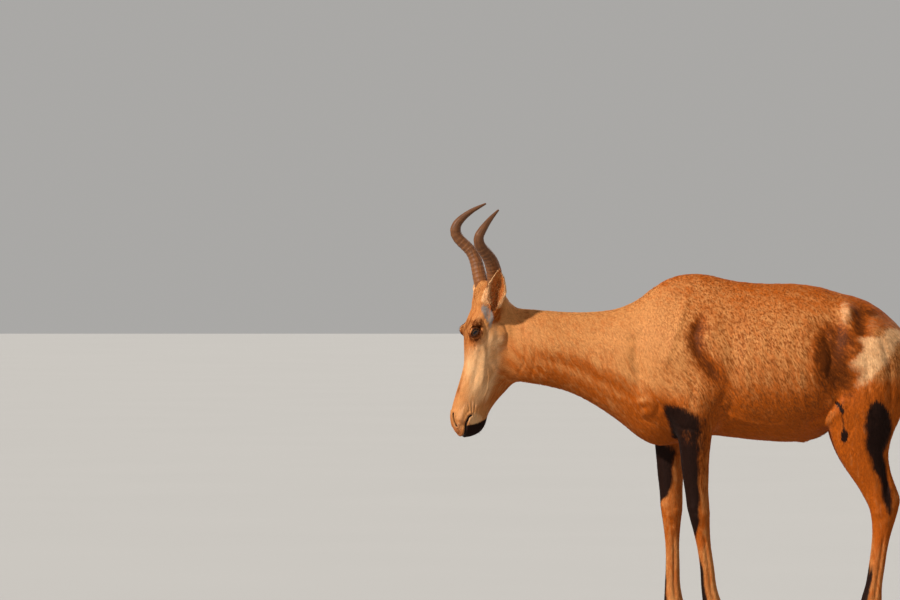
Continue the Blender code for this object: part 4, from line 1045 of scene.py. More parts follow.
def markings(points, normals, share):
    """(black, cream, red) and (chestnut, grey sheen, bare) of each point, 0 to 1. Some of black, cream, red,
    chestnut and grey are painted light and shade.
    """
    x, y, z = points.T
    wave = 0.005 * (np.sin(43 * x + 19 * z) + np.sin(71 * z - 27 * x + 3) + np.sin(57 * y + 33 * z))
    head = head_places(points)
    t, u, l = head.T
    face = share[:, 5]
    up = normals[:, 2]
    beside = np.abs(l)

    black = np.zeros(len(points))
    for name in LEG_CURVES:
        black = np.maximum(black, leg_black(name, x, y, z, wave))
    dock = blend_step(0.026, 0.018, np.hypot(x - 0.762, y - 0.007))
    black = np.maximum(black, blend_step(1.000, 0.930, z) * dock)
    behind_mouth = blend_step(0.0010, -0.0030, before_mouth(t, u))
    chin = blend_step(-0.009, 0.007, t - 0.4350 - 0.26 * u + wave * 0.9) * behind_mouth
    black = np.maximum(black, face * chin)

    cream = 0.74 * inside_outline(x + 2 * wave, z + 2 * wave, RUMP_PATCH, 0.020)
    cream *= blend_step(0.030, 0.060, np.abs(y))
    inner = blend_step(-0.2, -0.8, normals[:, 1] * np.sign(y)) * blend_step(0.86, 0.70, z) * (x > 0.35)
    for pale in (
        0.26 * blend_step(1.4, 0.5, spot(x, z, RUMP_MOTTLE)),
        0.55 * inner * blend_step(0.42, 0.55, z),
        0.75 * face * blend_step(1.6, 0.5, spot(t, u, LIP_PATCH)),
        # cheek and muzzle paler: partly paler hair, partly painted sunlight
        0.75 * face * blend_step(1.3, 0.5, spot(t, u, CHEEK_PALE_AND_SUNLIT)),
        0.35 * face * blend_step(0.30, 0.40, t),
        # hip bone: painted highlight, partly paler worn hair
        0.56 * blend_step(1.5, 0.4, spot(x, z, HIP_HIGHLIGHT_AND_WEAR)),
    ):
        cream = np.maximum(cream, pale)

    red = 0.36 + 0.42 * blend_step(0.45, 0.90, up) * blend_step(-0.30, -0.05, x)
    # first term: surfaces facing down made redder, partly deeper orange belly hair, partly painted shade and
    # warm bounce light
    red += 0.45 * blend_step(0.15, -0.50, up) + 0.22 * blend_step(0.93, 0.78, z) * blend_step(-0.30, -0.10, x)
    # shoulder front and upper neck paler: partly paler hair, partly a painted sunlit highlight
    red -= 0.30 * blend_step(0.20, 0.05, np.hypot((x + 0.16) / 1.3, z - 1.05))
    red -= 0.16 * blend_step(-0.30, -0.42, x) * blend_step(0.98, 1.05, z) * (1 - face)
    red += 0.22 * blend_step(0.10, 0.05, np.hypot((x - 0.58) / 1.2, z - 1.16))
    red -= 0.20 * blend_step(0.42, 0.30, z) * (1 - face)
    # face sides paler: partly paler hair, partly painted sunlight
    red -= 0.20 * face * blend_step(0.3, 0.7, np.abs(normals @ FACE_LEFT))
    groin = blend_step(0.43, 0.50, x) * blend_step(0.945, 0.880, z)
    red += 0.42 * groin * (1 - 0.5 * blend_step(0.60, 0.45, z))

    # Painted shade: dark stands for the shade in the crease behind the shoulder blade and in the hollows of
    # flank and rump, partly over darker hair, and makes the coat redder and browner there.
    crease_shade = soft_line(x, z, 0.032, BLADE_CREASE_SHADE)
    hollow_shade = np.zeros(len(points))
    for *hollow_at, depth in HOLLOW_SHADES:
        hollow_shade += depth * soft_spot(x, z, hollow_at)
    dark = (1.15 * crease_shade + 1.25 * np.clip(hollow_shade, 0, 1)) * (1 - face)
    dark *= blend_step(0.2, 0.6, np.abs(normals[:, 1]))
    red += 0.65 * dark
    forearm = np.zeros(len(points))
    for name in ("foreleg_left", "foreleg_right"):
        f, s = leg_place(name, x, y, z)
        on_side = blend_step(0.0, 0.5, s) * blend_step(0.0, 0.02, y * LEG_CURVES[name][2]) * (x < 0.25)
        forearm = np.maximum(forearm, on_side * blend_step(-1.5, -1.1, f) * blend_step(1.2, 0.5, f))
    forearm *= blend_step(0.44, 0.54, z) * blend_step(0.84, 0.74, z)
    chestnut = 0.84 * face * blend_step(1.30, 0.65, spot(t + 0.6 * wave, u, EYE_PATCH))
    chestnut *= blend_step(0.022, 0.034, beside) * blend_step(0.085, 0.066, u)
    chestnut *= blend_step(0.98, 0.80, normals @ FACE_FRONT)
    blaze = blend_step(0.017, 0.006, beside) * blend_step(0.10, 0.16, t) * blend_step(0.37, 0.33, t)
    crown = blend_step(0.07, 0.02, t) * (u > 0.0) * blend_step(0.030, 0.016, beside)
    for brown in (0.42 * face * blend_step(1.25, 0.70, spot(t + wave, l, BROW_PATCH)) * (u > 0.02),
                  0.26 * face * blaze * (u > 0), 0.30 * face * crown):
        chestnut = np.maximum(chestnut, brown)
    # painted shade of crease and hollows, with the brown hair of forearms and groin
    body_brown_and_shade = 0.66 * dark + 0.42 * forearm + 0.16 * groin * blend_step(0.80, 0.86, z)
    chestnut = chestnut + body_brown_and_shade * (1 - cream)
    # painted sheen: the black hair between ear and horn painted grey
    slanted = u + 0.41 * (t - GREY_SHEEN_PATCH[0]) + 0.3 * wave
    grey_sheen = 0.78 * face * blend_step(1.35, 0.60, spot(t, slanted, GREY_SHEEN_PATCH)) * blend_step(0.03, 0.04, beside)

    bare = blend_step(0.0050, 0.0028, line_distance(t, beside, NOSTRIL)[0]) * (u > 0.010)
    bare = np.maximum(bare, blend_step(0.0052, 0.0026, line_distance(t, u, MOUTH)[0]))
    for side in (1, -1):
        e, outward, off = lid_distance(head, side)
        bare = np.maximum(bare, blend_step(0.0026, 0.0010, e) * (outward > 0.004) * (off < 0.035))
    bare *= face

    for spec in EARS.values():
        v, across, off = ear_place(spec, head)
        mine = blend_step(0.10, 0.18, v) * (off < 0.055) * blend_step(1.05, 1.0, v)
        inside = mine * blend_step(-0.1, 0.3, ear_facing(spec, normals))
        rim = mine * blend_step(0.66, 0.92, np.abs(across))
        core = inside * blend_step(0.50, 0.12, np.abs(across))
        core *= blend_step(0.82, 0.55, v) * blend_step(0.15, 0.30, v)
        for old in (black, grey_sheen, bare):
            old *= 1 - mine
        root = face * blend_step(0.050, 0.028, np.linalg.norm(head - np.array(spec[0]), axis=1)) * (1 - mine)
        cream = np.maximum(cream * (1 - mine), 0.75 * rim + 0.08 * inside)
        chestnut = np.maximum(chestnut * (1 - mine), 0.36 * core)
        chestnut = np.maximum(chestnut, 0.45 * root * (1 - grey_sheen))
        red = red * (1 - mine) + mine * (0.42 + 0.22 * inside) + 0.30 * root
        black = np.maximum(black, mine * 0.25 * blend_step(0.94, 1.0, v))
    one = np.clip(np.stack([black, cream, red], 1), 0, 1)
    two = np.clip(np.stack([chestnut, grey_sheen, bare], 1), 0, 1)
    return one, two


def coat_flow(points, normals, share):
    """The way the coat lies, along the skin."""
    down = np.array([0.0, 0.0, -1.0])
    slope = down - normals * (normals @ down)[:, None]
    trunk = np.array([0.62, 0, 0]) + 0.95 * slope
    leg = np.array([0.10, 0.0, -1.0])
    head = -NOSE_DOWN - 0.45 * FACE_FRONT
    way = share[:, :1] * trunk + share[:, 1:5].sum(1)[:, None] * leg + share[:, 5:] * head
    near_tail = blend_step(0.70, 0.74, points[:, 0])[:, None]
    way = way * (1 - near_tail) + down * near_tail
    place = head_places(points)
    for spec in EARS.values():
        v, _, off = ear_place(spec, place)
        mine = (blend_step(0.05, 0.15, v) * (off < 0.055))[:, None]
        way = way * (1 - mine) + (ear_axes(spec)[2] @ HEAD_AXES) * mine
    way = way - normals * (way * normals).sum(1)[:, None]
    return way / np.maximum(np.linalg.norm(way, axis=1), 1e-6)[:, None]


GRAIN_SQUEEZE = 0.76         # the hair pattern is this much drawn out along the lie of the coat


def squeezed(points, anchor, way, like):
    way = np.array(way) / np.linalg.norm(way)
    gone = points - anchor
    return like + gone - GRAIN_SQUEEZE * (gone @ way)[:, None] * way


def coat_grain(points, share):
    """Coordinates for the hair pattern, drawn out along trunk, legs and head, and joined where they meet."""
    middle = np.array([0.2, 0.0, 0.95])
    trunk_way = (0.45, 0.0, -0.89)
    total = share[:, :1] * squeezed(points, middle, trunk_way, middle)
    for i, (name, (_, _, side, _)) in enumerate(LEG_CURVES.items()):
        anchor = np.array([-0.03 if name.startswith("fore") else 0.57, side * 0.11, 0.70])
        like = squeezed(anchor[None], middle, trunk_way, middle)[0]
        total += share[:, i + 1:i + 2] * squeezed(points, anchor, (0, 0, -1), like)
    like = squeezed(POLL[None], middle, trunk_way, middle)[0]
    return total + share[:, 5:] * squeezed(points, POLL, NOSE_DOWN, like)


# ------------------------------------------------------------------ unwrap of the skin
# Each part has a rectangle of the unwrap: lowest u and v, highest u and v.
CHARTS = {"trunk": (0.01, 0.47, 0.99, 0.99), "head": (0.74, 0.14, 0.985, 0.45),
          "ears": (0.74, 0.01, 0.985, 0.125)}
for number, leg_name in enumerate(LEG_CURVES):
    CHARTS[leg_name] = (0.012 + 0.18 * number, 0.012, 0.178 + 0.18 * number, 0.450)


def chart_place(part, points):
    """(along, round) of points in one part's chart, each 0 to 1."""
    x, y, z = points.T
    if part == "trunk":
        _, middle, _, _, _, _, off = read(TRUNK_CURVES, x)
        return (x + 0.72) / 1.54, np.arctan2(y - off, z - middle) / (2 * np.pi) + 0.5
    if part == "head":
        t, u, l = to_head(x, y, z)
        return (t + 0.08) / 0.58, np.arctan2(l, u + 0.02) / (2 * np.pi) + 0.5
    _, line, side, stagger = LEG_CURVES[part]
    middle, off = read(line, z)
    turn = np.arctan2(x - middle - leg_shift(z, stagger), side * (y - side * off))
    return z / 1.15, turn / (2 * np.pi) + 0.5


def unwrap(mesh, fields):
    """Gives the skin its OFBake map."""
    points = points_of(mesh)
    loops = values_of(mesh.loops, "vertex_index", kind=np.int32)
    starts = values_of(mesh.polygons, "loop_start", kind=np.int32)
    sizes = values_of(mesh.polygons, "loop_total", kind=np.int32)
    normal = values_of(mesh.polygons, "normal", 3)
    face_of = np.repeat(np.arange(len(sizes)), sizes)
    nearest = np.argmin(np.add.reduceat(fields[loops], starts, axis=0), axis=1)
    centre = np.add.reduceat(points[loops], starts, axis=0) / sizes[:, None]
    uv = np.zeros((len(loops), 2))
    for i, part in enumerate(["trunk", *LEG_CURVES, "head"]):
        mine = nearest[face_of] == i
        along, turn = chart_place(part, points[loops[mine]])
        _, turn_middle = chart_place(part, centre[face_of[mine]])
        turn = turn_middle + (turn - turn_middle + 0.5) % 1 - 0.5
        u0, v0, u1, v1 = CHARTS[part]
        if part in LEG_CURVES:
            along, turn = turn, along
        uv[mine] = np.stack([u0 + along * (u1 - u0), v0 + turn * (v1 - v0)], 1)
    u0, v0, u1, v1 = CHARTS["ears"]
    head = head_places(points)
    middles = head_places(centre)
    for number, spec in enumerate(EARS.values()):
        v_face, _, off = ear_place(spec, middles)
        mine_face = (v_face > 0.10) & (off < 0.045) & (fields[:, 5][loops[starts]] > -0.002)
        mine = mine_face[face_of]
        v, across, _ = ear_place(spec, head[loops[mine]])
        column = 2 * number + (ear_facing(spec, normal) > 0)[face_of[mine]]
        width = (u1 - u0) / 4
        uv[mine] = np.stack([u0 + width * (column + 0.5 + 0.36 * across), v0 + v * (v1 - v0)], 1)
    add_map(mesh, uv)
    return uv


# ------------------------------------------------------------------ coat
UV_PATCH = 0.0015            # half of a tuft's patch in the unwrap
MOST_TUFTS = 48000           # in one piece
COVER = 1.00                 # area of all tufts over the area of the skin
TUFT_SLENDER = 0.20          # width of a tuft over its length
ROOT_DEPTH = 0.0004          # roots lie this deep in the skin
FIELDS = {"FLOAT_COLOR": "color", "FLOAT_VECTOR": "vector", "FLOAT": "value"}


def add_map(mesh, uv):
    mesh.uv_layers.new(name="OFBake").data.foreach_set("uv", np.clip(uv, 0, 1).astype(np.float32).ravel())


def set_value(mesh, name, kind, values):
    layer = mesh.attributes.new(name, kind, "POINT")
    values = np.asarray(values, np.float32)
    if kind == "FLOAT_COLOR":
        values = np.concatenate([values, np.ones((len(values), 1), np.float32)], 1)
    layer.data.foreach_set(FIELDS[kind], values.ravel())


def stipple_at(points):
    """Strength of the dark stipple: most over ribs and flank, least on neck, face and legs."""
    x, _, z = points.T
    trunk = blend_step(-0.22, 0.02, x) * blend_step(0.70, 0.84, z)
    trunk *= 1 - 0.8 * blend_step(0.43, 0.50, x) * blend_step(0.95, 0.89, z)
    return 0.34 + 1.10 * trunk


def paint(mesh, at, normal, share, copies=1):
    """The coat's values for a mesh with so many copies of points for each root."""
    one, two = markings(at, normal, share)
    grain = coat_grain(points_of(mesh), np.repeat(share, copies, axis=0))
    set_value(mesh, "mark", "FLOAT_COLOR", np.repeat(one, copies, axis=0))
    set_value(mesh, "mark2", "FLOAT_COLOR", np.repeat(two, copies, axis=0))
    set_value(mesh, "grain", "FLOAT_VECTOR", grain)
    set_value(mesh, "stipple", "FLOAT", np.repeat(stipple_at(at), copies))


def coat_style(points, normals, share):
    """Length and lift of the tufts at each point."""
    x, _, z = points.T
    t = head_places(points)[:, 0]
    face = share[:, 5]
    leg = blend_step(0.72, 0.50, z) * (1 - face)
    length = 0.0125 + 0.003 * blend_step(0.0, -0.8, normals[:, 2]) + 0.002 * blend_step(0.50, 0.66, x)
    on_leg = np.interp(z, [0.05, 0.12, 0.30, 0.55], [0.0062, 0.0056, 0.0066, 0.0085])
    length = length * (1 - leg) + leg * on_leg
    on_face = np.interp(t, [-0.05, 0.05, 0.20, 0.36, 0.42], [0.0105, 0.0080, 0.0062, 0.0044, 0.0034])
    length = length * (1 - face) + face * on_face
    lift = length * (0.13 + 0.03 * leg - 0.02 * face)
    return length, lift


def scatter(mesh, uv, density):
    """Random points on the skin, their normals and map places, for roots per square metre at each vertex."""
    mesh.calc_loop_triangles()
    count = len(mesh.loop_triangles)
    corners = values_of(mesh.loop_triangles, "vertices", 3, np.int32)
    loops = values_of(mesh.loop_triangles, "loops", 3, np.int32)
    points, normals = points_of(mesh), normals_of(mesh)
    a, b, c = (points[corners[:, i]] for i in range(3))
    area = np.linalg.norm(np.cross(b - a, c - a), axis=1) / 2
    wanted = area * density[corners].mean(1)
    total = int(wanted.sum())
    steps = np.cumsum(wanted)
    pick = np.searchsorted(steps, (np.arange(total) + RANDOM.random(total)) * steps[-1] / total)
    pick = np.minimum(pick, count - 1)
    r, s = RANDOM.random((2, total))
    flip = r + s > 1
    r, s = np.where(flip, 1 - r, r), np.where(flip, 1 - s, s)
    share = np.stack([1 - r - s, r, s], 1)
    at = (points[corners[pick]] * share[..., None]).sum(1)
    normal = (normals[corners[pick]] * share[..., None]).sum(1)
    normal /= np.linalg.norm(normal, axis=1)[:, None]
    place = (uv[loops[pick]] * share[..., None]).sum(1)
    return at, normal, place


TUFT_FACES = np.array([[0, 3, 1], [0, 2, 3], [1, 3, 2], [0, 1, 2]])


def tuft_mesh(name, at, normal, way, place, length, width, lift, share, shade):
    """Flat tapered tufts: two root corners, a raised ridge and a tip each."""
    side = np.cross(normal, way)
    root = at - normal * ROOT_DEPTH
    half, length, lift = width[:, None] / 2, length[:, None], lift[:, None]
    left = root + side * half
    right = root - side * half
    ridge = root + way * length * 0.22 + normal * (ROOT_DEPTH + lift * 0.75)
    tip = root + way * length + normal * (ROOT_DEPTH + lift)
    points = np.stack([left, right, ridge, tip], 1).reshape(-1, 3)
    faces = (TUFT_FACES[None] + 4 * np.arange(len(at))[:, None, None]).reshape(-1, 3)
    made = new_mesh(name, points, faces)
    mesh = made.data
    paint(mesh, at, normal, share, copies=4)
    set_value(mesh, "shade", "FLOAT", np.repeat(shade, 4))
    soft = np.repeat(normal, 4, axis=0)
    soft += np.stack([side * 0.20, -side * 0.20, normal * 0, way * 0.12], 1).reshape(-1, 3)
    soft /= np.linalg.norm(soft, axis=1)[:, None]
    mesh.normals_split_custom_set_from_vertices(soft.astype(np.float32))
    corner = np.array([[-1, -1], [1, -1], [0, 0], [0, 1]]) * UV_PATCH
    add_map(mesh, (place[:, None] + corner).reshape(-1, 2)[faces.ravel()])
    return made


def on_leg(name, points):
    """Whether points low on the body are on this leg."""
    return (points[:, 1] * LEG_CURVES[name][2] > 0) & ((points[:, 0] > 0.3) == name.startswith("hind"))


def in_hoof(name, points):
    return on_leg(name, points) & (points[:, 2] < 0.10) & (leg_end(name, points[:, 0], points[:, 2]) < -0.001)


def grow_coat(skin, uv):
    """Short tufts over the whole skin, in pieces by part of the body."""
    mesh = skin.data
    points, normals = points_of(mesh), normals_of(mesh)
    _, share = parts_of(points)
    length, _ = coat_style(points, normals, share)
    _, two = markings(points, normals, share)
    density = COVER / (length * length * TUFT_SLENDER / 2) * (two[:, 2] < 0.35)
    for name in LEG_CURVES:
        density = density * (1 - in_hoof(name, points))
    at, normal, place = scatter(mesh, uv, density)
    _, share = parts_of(at)
    length, lift = coat_style(at, normal, share)
    way = coat_flow(at, normal, share)
    count = len(at)
    turn = RANDOM.normal(0, 0.24, count)[:, None]
    way = way * np.cos(turn) + np.cross(normal, way) * np.sin(turn)
    length = length * RANDOM.uniform(0.75, 1.25, count)
    width = length * TUFT_SLENDER * RANDOM.uniform(0.8, 1.2, count)
    lift = lift * RANDOM.uniform(0.6, 1.5, count)
    shade = RANDOM.random(count)
    x, _, z = at.T
    leg = (z < 0.66) & (share[:, 5] < 0.5) & (x > -0.30)
    belongs = [share[:, 5] > 0.5, leg & (x < 0.3), leg, x < -0.25, x < 0.12, x < 0.42]
    group = np.select(belongs, [0, 1, 2, 3, 4, 5], 6)
    names = ["head", "forelegs", "hindlegs", "neck", "shoulders", "ribs", "hindquarters"]
    pieces = []
    for i, word in enumerate(names):
        mine = np.flatnonzero(group == i)
        for number, part in enumerate(np.array_split(mine, int(np.ceil(len(mine) / MOST_TUFTS)))):
            name = f"coat_{word}" + (f"_{number + 1}" if len(mine) > MOST_TUFTS else "")
            of_part = (values[part] for values in (at, normal, way, place, length, width, lift, share, shade))
            pieces.append(tuft_mesh(name, *of_part))
    return pieces


SIDES, STEPS = 3, 5          # of a strand of long hair


def lock_mesh(name, paths, widths, material):
    """Tapered three-sided strands along paths: an array of strands, points along each, and x, y, z."""
    count, steps = paths.shape[:2]
    ways = np.gradient(paths, axis=1)
    ways /= np.maximum(np.linalg.norm(ways, axis=2), 1e-9)[..., None]
    guide = RANDOM.normal(size=(count, 1, 3))
    one = guide - (guide * ways).sum(2)[..., None] * ways
    one /= np.linalg.norm(one, axis=2)[..., None]
    two = np.cross(ways, one)
    taper = np.sin(np.pi * np.clip(np.linspace(0.22, 1.0, steps), 0, 1)) ** 0.7
    taper[-1] = 0.05
    radius = widths[:, None] / 2 * taper[None] / taper.max()
    turn = 2 * np.pi * np.arange(SIDES) / SIDES
    ring = np.cos(turn)[:, None] * one[:, :, None] + 0.55 * np.sin(turn)[:, None] * two[:, :, None]
    points = paths[:, :, None] + radius[..., None, None] * ring
    quads = ring_faces(steps, SIDES)
    faces = np.stack([quads[:, [0, 1, 2]], quads[:, [0, 2, 3]]], 1).reshape(-1, 3)
    faces = np.concatenate([faces, [(2, 1, 0), (steps - 1) * SIDES + np.arange(3)]])
    faces = (faces[None] + steps * SIDES * np.arange(count)[:, None, None]).reshape(-1, 3)
    return new_mesh(name, points.reshape(-1, 3), faces, material)


# ------------------------------------------------------------------ materials
TAN = (0.570, 0.240, 0.074)
RED = (0.410, 0.082, 0.003)
CREAM = (0.80, 0.460, 0.220)
DASH = (0.215, 0.052, 0.006)
CHESTNUT = (0.104, 0.022, 0.001)
# painted sheen of black hair
SHEEN_GREY = (0.225, 0.190, 0.170)
PLUM = (0.0155, 0.0048, 0.0025)
BARE = (0.020, 0.012, 0.011)
# Long hair at its root and its tip.
BLACK_HAIR = ((0.016, 0.010, 0.009), (0.030, 0.019, 0.015))
PALE_HAIR = ((0.56, 0.250, 0.085), (0.80, 0.470, 0.200))
BROWN_HAIR = ((0.075, 0.028, 0.013), (0.13, 0.055, 0.024))
HORN_LOW, HORN_MIDDLE, HORN_TIP = (0.225, 0.076, 0.020), (0.150, 0.054, 0.017), (0.130, 0.050, 0.018)
# the lighter colour of the ring ridges: partly wear, partly painted highlight
HORN_WEAR_AND_HIGHLIGHT, HORN_CRACK = (0.380, 0.160, 0.055), (0.040, 0.022, 0.015)
HOOF_DARK, HOOF_BROWN = (0.020, 0.017, 0.016), (0.062, 0.048, 0.038)
HOOF_SOLE, HOOF_FIBRE = (0.130, 0.098, 0.068), (0.095, 0.078, 0.062)
IRIS, IRIS_RAYS, IRIS_RING = (0.030, 0.011, 0.004), (0.105, 0.045, 0.016), (0.010, 0.005, 0.003)
PUPIL, EYE_WHITE = (0.004, 0.005, 0.008), (0.115, 0.075, 0.055)
FLOOR_GREY = (0.44, 0.437, 0.43)


class Nodes:
    """A material's node tree, with short ways to add and join nodes."""

    def __init__(self, name, tree=None):
        if tree is None:
            self.material = bpy.data.materials.new(name)
            self.material.use_nodes = True
            tree = self.material.node_tree
            self.shader = tree.nodes["Principled BSDF"]
        self.tree = tree

    def add(self, kind, inputs=None, output=0, **settings):
        node = self.tree.nodes.new("ShaderNode" + kind)
        for key, value in settings.items():
            setattr(node, key, value)
        for key, value in (inputs or {}).items():
            self.put(node.inputs[key], value)
        return node.outputs[output]

    def put(self, socket, value):
        if isinstance(value, bpy.types.NodeSocket):
            self.tree.links.new(value, socket)
        elif isinstance(value, tuple) and len(value) == 3 and socket.type == "RGBA":
            socket.default_value = (*value, 1)
        else:
            socket.default_value = value

    def math(self, operation, *values):
        return self.add("Math", dict(enumerate(values)), operation=operation)

    def mix(self, share, one, two):
        kind = dict(data_type="RGBA", clamp_factor=True)
        return self.add("Mix", {0: share, 6: one, 7: two}, output=2, **kind)

    def ramp(self, value, low, high, to_low=0.0, to_high=1.0):
        inputs = {"Value": value, "From Min": low, "From Max": high, "To Min": to_low, "To Max": to_high}
        return self.add("MapRange", inputs, interpolation_type="SMOOTHSTEP")

    def place(self):
        """Place in the object."""
        return self.add("TexCoord", output=3)

    def scaled(self, colour, factor):
        return self.add("VectorMath", {0: colour, 3: factor}, operation="SCALE")

    def sum_of(self, value, other, factor):
        return self.math("ADD", value, self.math("MULTIPLY", other, factor))

    def stirred(self, value, noise, factor):
        """The value, higher or lower by noise."""
        return self.sum_of(value, self.math("SUBTRACT", noise, 0.5), factor)

    def noise(self, vector, scale, detail=2.0, rough=0.5, bend=0.0):
        inputs = {"Vector": vector, "Scale": scale, "Detail": detail, "Roughness": rough, "Distortion": bend}
        return self.add("TexNoise", inputs)

    def attribute(self, name, output="Color"):
        node = self.tree.nodes.new("ShaderNodeAttribute")
        node.attribute_name = name
        return node.outputs[output]

    def parts(self, colour):
        node = self.tree.nodes.new("ShaderNodeSeparateColor")
        self.tree.links.new(colour, node.inputs[0])
        return node.outputs[0], node.outputs[1], node.outputs[2]

    def bump(self, height, distance, strength=1.0, normal=None):
        inputs = {"Height": height, "Distance": distance, "Strength": strength}
        if normal is not None:
            inputs["Normal"] = normal
        return self.add("Bump", inputs)

    def finish(self, **sockets):
        for key, value in sockets.items():
            self.put(self.shader.inputs[key.replace("_", " ")], value)
        return self.material


def hair_group():
    """The coat's colour from its markings: the same for skin and tufts."""
    tree = bpy.data.node_groups.new("coat colour", "ShaderNodeTree")
    for name, kind in (("Colour", "Color"), ("Streak", "Float"), ("Bare", "Float")):
        tree.interface.new_socket(name, in_out="OUTPUT", socket_type="NodeSocket" + kind)
    n = Nodes("", tree)
    grain = n.attribute("grain", "Vector")
    black, cream, red = n.parts(n.attribute("mark"))
    chestnut, grey_sheen, bare = n.parts(n.attribute("mark2"))
    streak = n.noise(grain, 230.0, 3.0, 0.60, 0.3)
    clump = n.noise(grain, 62.0, 2.5, 0.62, 0.8)
    patch = n.noise(n.place(), 9.0, 3.0, 0.55)
    speck = n.math("SUBTRACT", streak, 0.5)
    ragged = n.math("ADD", speck, n.math("SUBTRACT", clump, 0.5))
    amount = n.stirred(n.stirred(red, clump, 1.35), patch, 0.50)
    base = n.mix(n.ramp(amount, 0.02, 1.0), TAN, RED)
    dash = n.ramp(n.noise(grain, 190.0, 2.0, 0.55, 0.5), 0.43, 0.66, 0.0, 0.66)
    base = n.mix(n.math("MULTIPLY", dash, n.attribute("stipple", "Fac")), base, DASH)
    soft = n.stirred(n.stirred(cream, clump, 1.1), patch, 0.7)
    base = n.mix(n.ramp(soft, 0.15, 1.0), base, CREAM)
    brown = n.ramp(n.sum_of(chestnut, ragged, 1.5), 0.1, 0.95)
    base = n.mix(n.math("MULTIPLY", brown, n.ramp(chestnut, 0.0, 0.15)), base, CHESTNUT)
    # painted sheen of black hair, as grey
    sheen_greyness = n.ramp(n.sum_of(grey_sheen, ragged, 1.2), 0.2, 0.75)
    base = n.mix(n.math("MULTIPLY", sheen_greyness, n.ramp(grey_sheen, 0.02, 0.25)), base, SHEEN_GREY)
    edge = n.sum_of(n.stirred(black, clump, 0.55), speck, 0.6)
    base = n.mix(n.ramp(edge, 0.16, 0.86), base, PLUM)
    base = n.scaled(base, n.sum_of(0.80, streak, 0.42))
    base = n.mix(bare, base, BARE)
    out = tree.nodes.new("NodeGroupOutput")
    for socket, value in zip(out.inputs, (base, streak, bare)):
        tree.links.new(value, socket)
    return tree


def hair_materials():
    """One material for the skin, whose flat hair is bump, and one for the tufts."""
    group = hair_group()
    made = []
    for name in ("skin", "coat"):
        n = Nodes(name)
        node = n.tree.nodes.new("ShaderNodeGroup")
        node.node_tree = group
        colour, streak, bare = node.outputs[:3]
        grain = n.attribute("grain", "Vector")
        if name == "coat":
            colour = n.scaled(colour, n.sum_of(0.80, n.attribute("shade", "Fac"), 0.40))
            normal = n.bump(n.noise(grain, 900.0, 1.0), 0.0003, 0.5)
        else:
            fine = n.noise(grain, 520.0, 2.0, 0.6)
            normal = n.bump(n.noise(grain, 34.0, 2.0, 0.5, 0.6), 0.0022, 0.55)
            normal = n.bump(n.sum_of(streak, fine, 0.6), 0.0011, 0.8, normal)
        gloss = n.ramp(streak, 0.2, 0.9, 0.66, 0.50)
        rough = n.sum_of(n.math("MULTIPLY", gloss, n.math("SUBTRACT", 1.0, bare)), bare, 0.34)
        made.append(n.finish(Base_Color=colour, Roughness=rough, Normal=normal, Specular_IOR_Level=0.10,
                             Sheen_Weight=0.02, Sheen_Roughness=0.45))
    return made


def long_hair_material(name, root, tip):
    """Long hair, from root colour to tip colour along the attribute "along"."""
    n = Nodes(name)
    along = n.attribute("along", "Fac")
    fibre = n.noise(n.place(), 700.0, 2.0, 0.6)
    colour = n.mix(n.ramp(n.stirred(along, fibre, 0.5), 0.1, 0.9), root, tip)
    colour = n.scaled(colour, n.sum_of(0.65, n.attribute("shade", "Fac"), 0.7))
    return n.finish(Base_Color=colour, Roughness=n.ramp(fibre, 0.2, 0.8, 0.42, 0.58),
                    Normal=n.bump(fibre, 0.0004, 0.6), Specular_IOR_Level=0.4)


def horn_material():
    n = Nodes("horn")
    along = n.attribute("along", "Fac")
    ridge = n.attribute("shade", "Fac")
    fibre = n.noise(n.attribute("grain", "Vector"), 210.0, 4.0, 0.62)
    mottle = n.noise(n.place(), 38.0, 4.0, 0.60, 0.4)
    tone = n.stirred(along, mottle, 0.55)
    low = n.mix(n.ramp(tone, 0.02, 0.45), HORN_LOW, HORN_MIDDLE)
    colour = n.mix(n.ramp(tone, 0.45, 1.0), low, HORN_TIP)
    # ring ridges lighter: partly wear, partly painted highlight
    wear_and_highlight = n.math("MULTIPLY", ridge, n.ramp(mottle, 0.35, 0.65, 0.35, 1.0))
    colour = n.mix(n.math("MULTIPLY", wear_and_highlight, 0.35), colour, HORN_WEAR_AND_HIGHLIGHT)
    colour = n.mix(n.ramp(fibre, 0.56, 0.30, 0.0, 0.55), colour, HORN_CRACK)
    normal = n.bump(n.sum_of(fibre, mottle, 0.5), 0.0012, 0.75)
    return n.finish(Base_Color=colour, Roughness=n.ramp(fibre, 0.25, 0.75, 0.55, 0.40), Normal=normal,
                    Specular_IOR_Level=0.25)


def hoof_material():
    n = Nodes("hoof")
    place = n.place()
    long_way = n.add("Mapping", {"Vector": place, "Scale": (1.0, 1.0, 0.15)})
    fibre = n.noise(long_way, 420.0, 3.0, 0.6)
    mottle = n.noise(place, 55.0, 3.0, 0.6)
    colour = n.mix(n.ramp(mottle, 0.3, 0.7), HOOF_DARK, HOOF_BROWN)
    low = n.ramp(n.stirred(n.attribute("along", "Fac"), mottle, 0.3), 0.24, 0.02)
    colour = n.mix(low, colour, HOOF_SOLE)
    colour = n.mix(n.ramp(fibre, 0.55, 0.75, 0.0, 0.4), colour, HOOF_FIBRE)
    normal = n.bump(fibre, 0.0006, 0.7)
    return n.finish(Base_Color=colour, Roughness=n.ramp(mottle, 0.3, 0.7, 0.34, 0.55), Normal=normal)


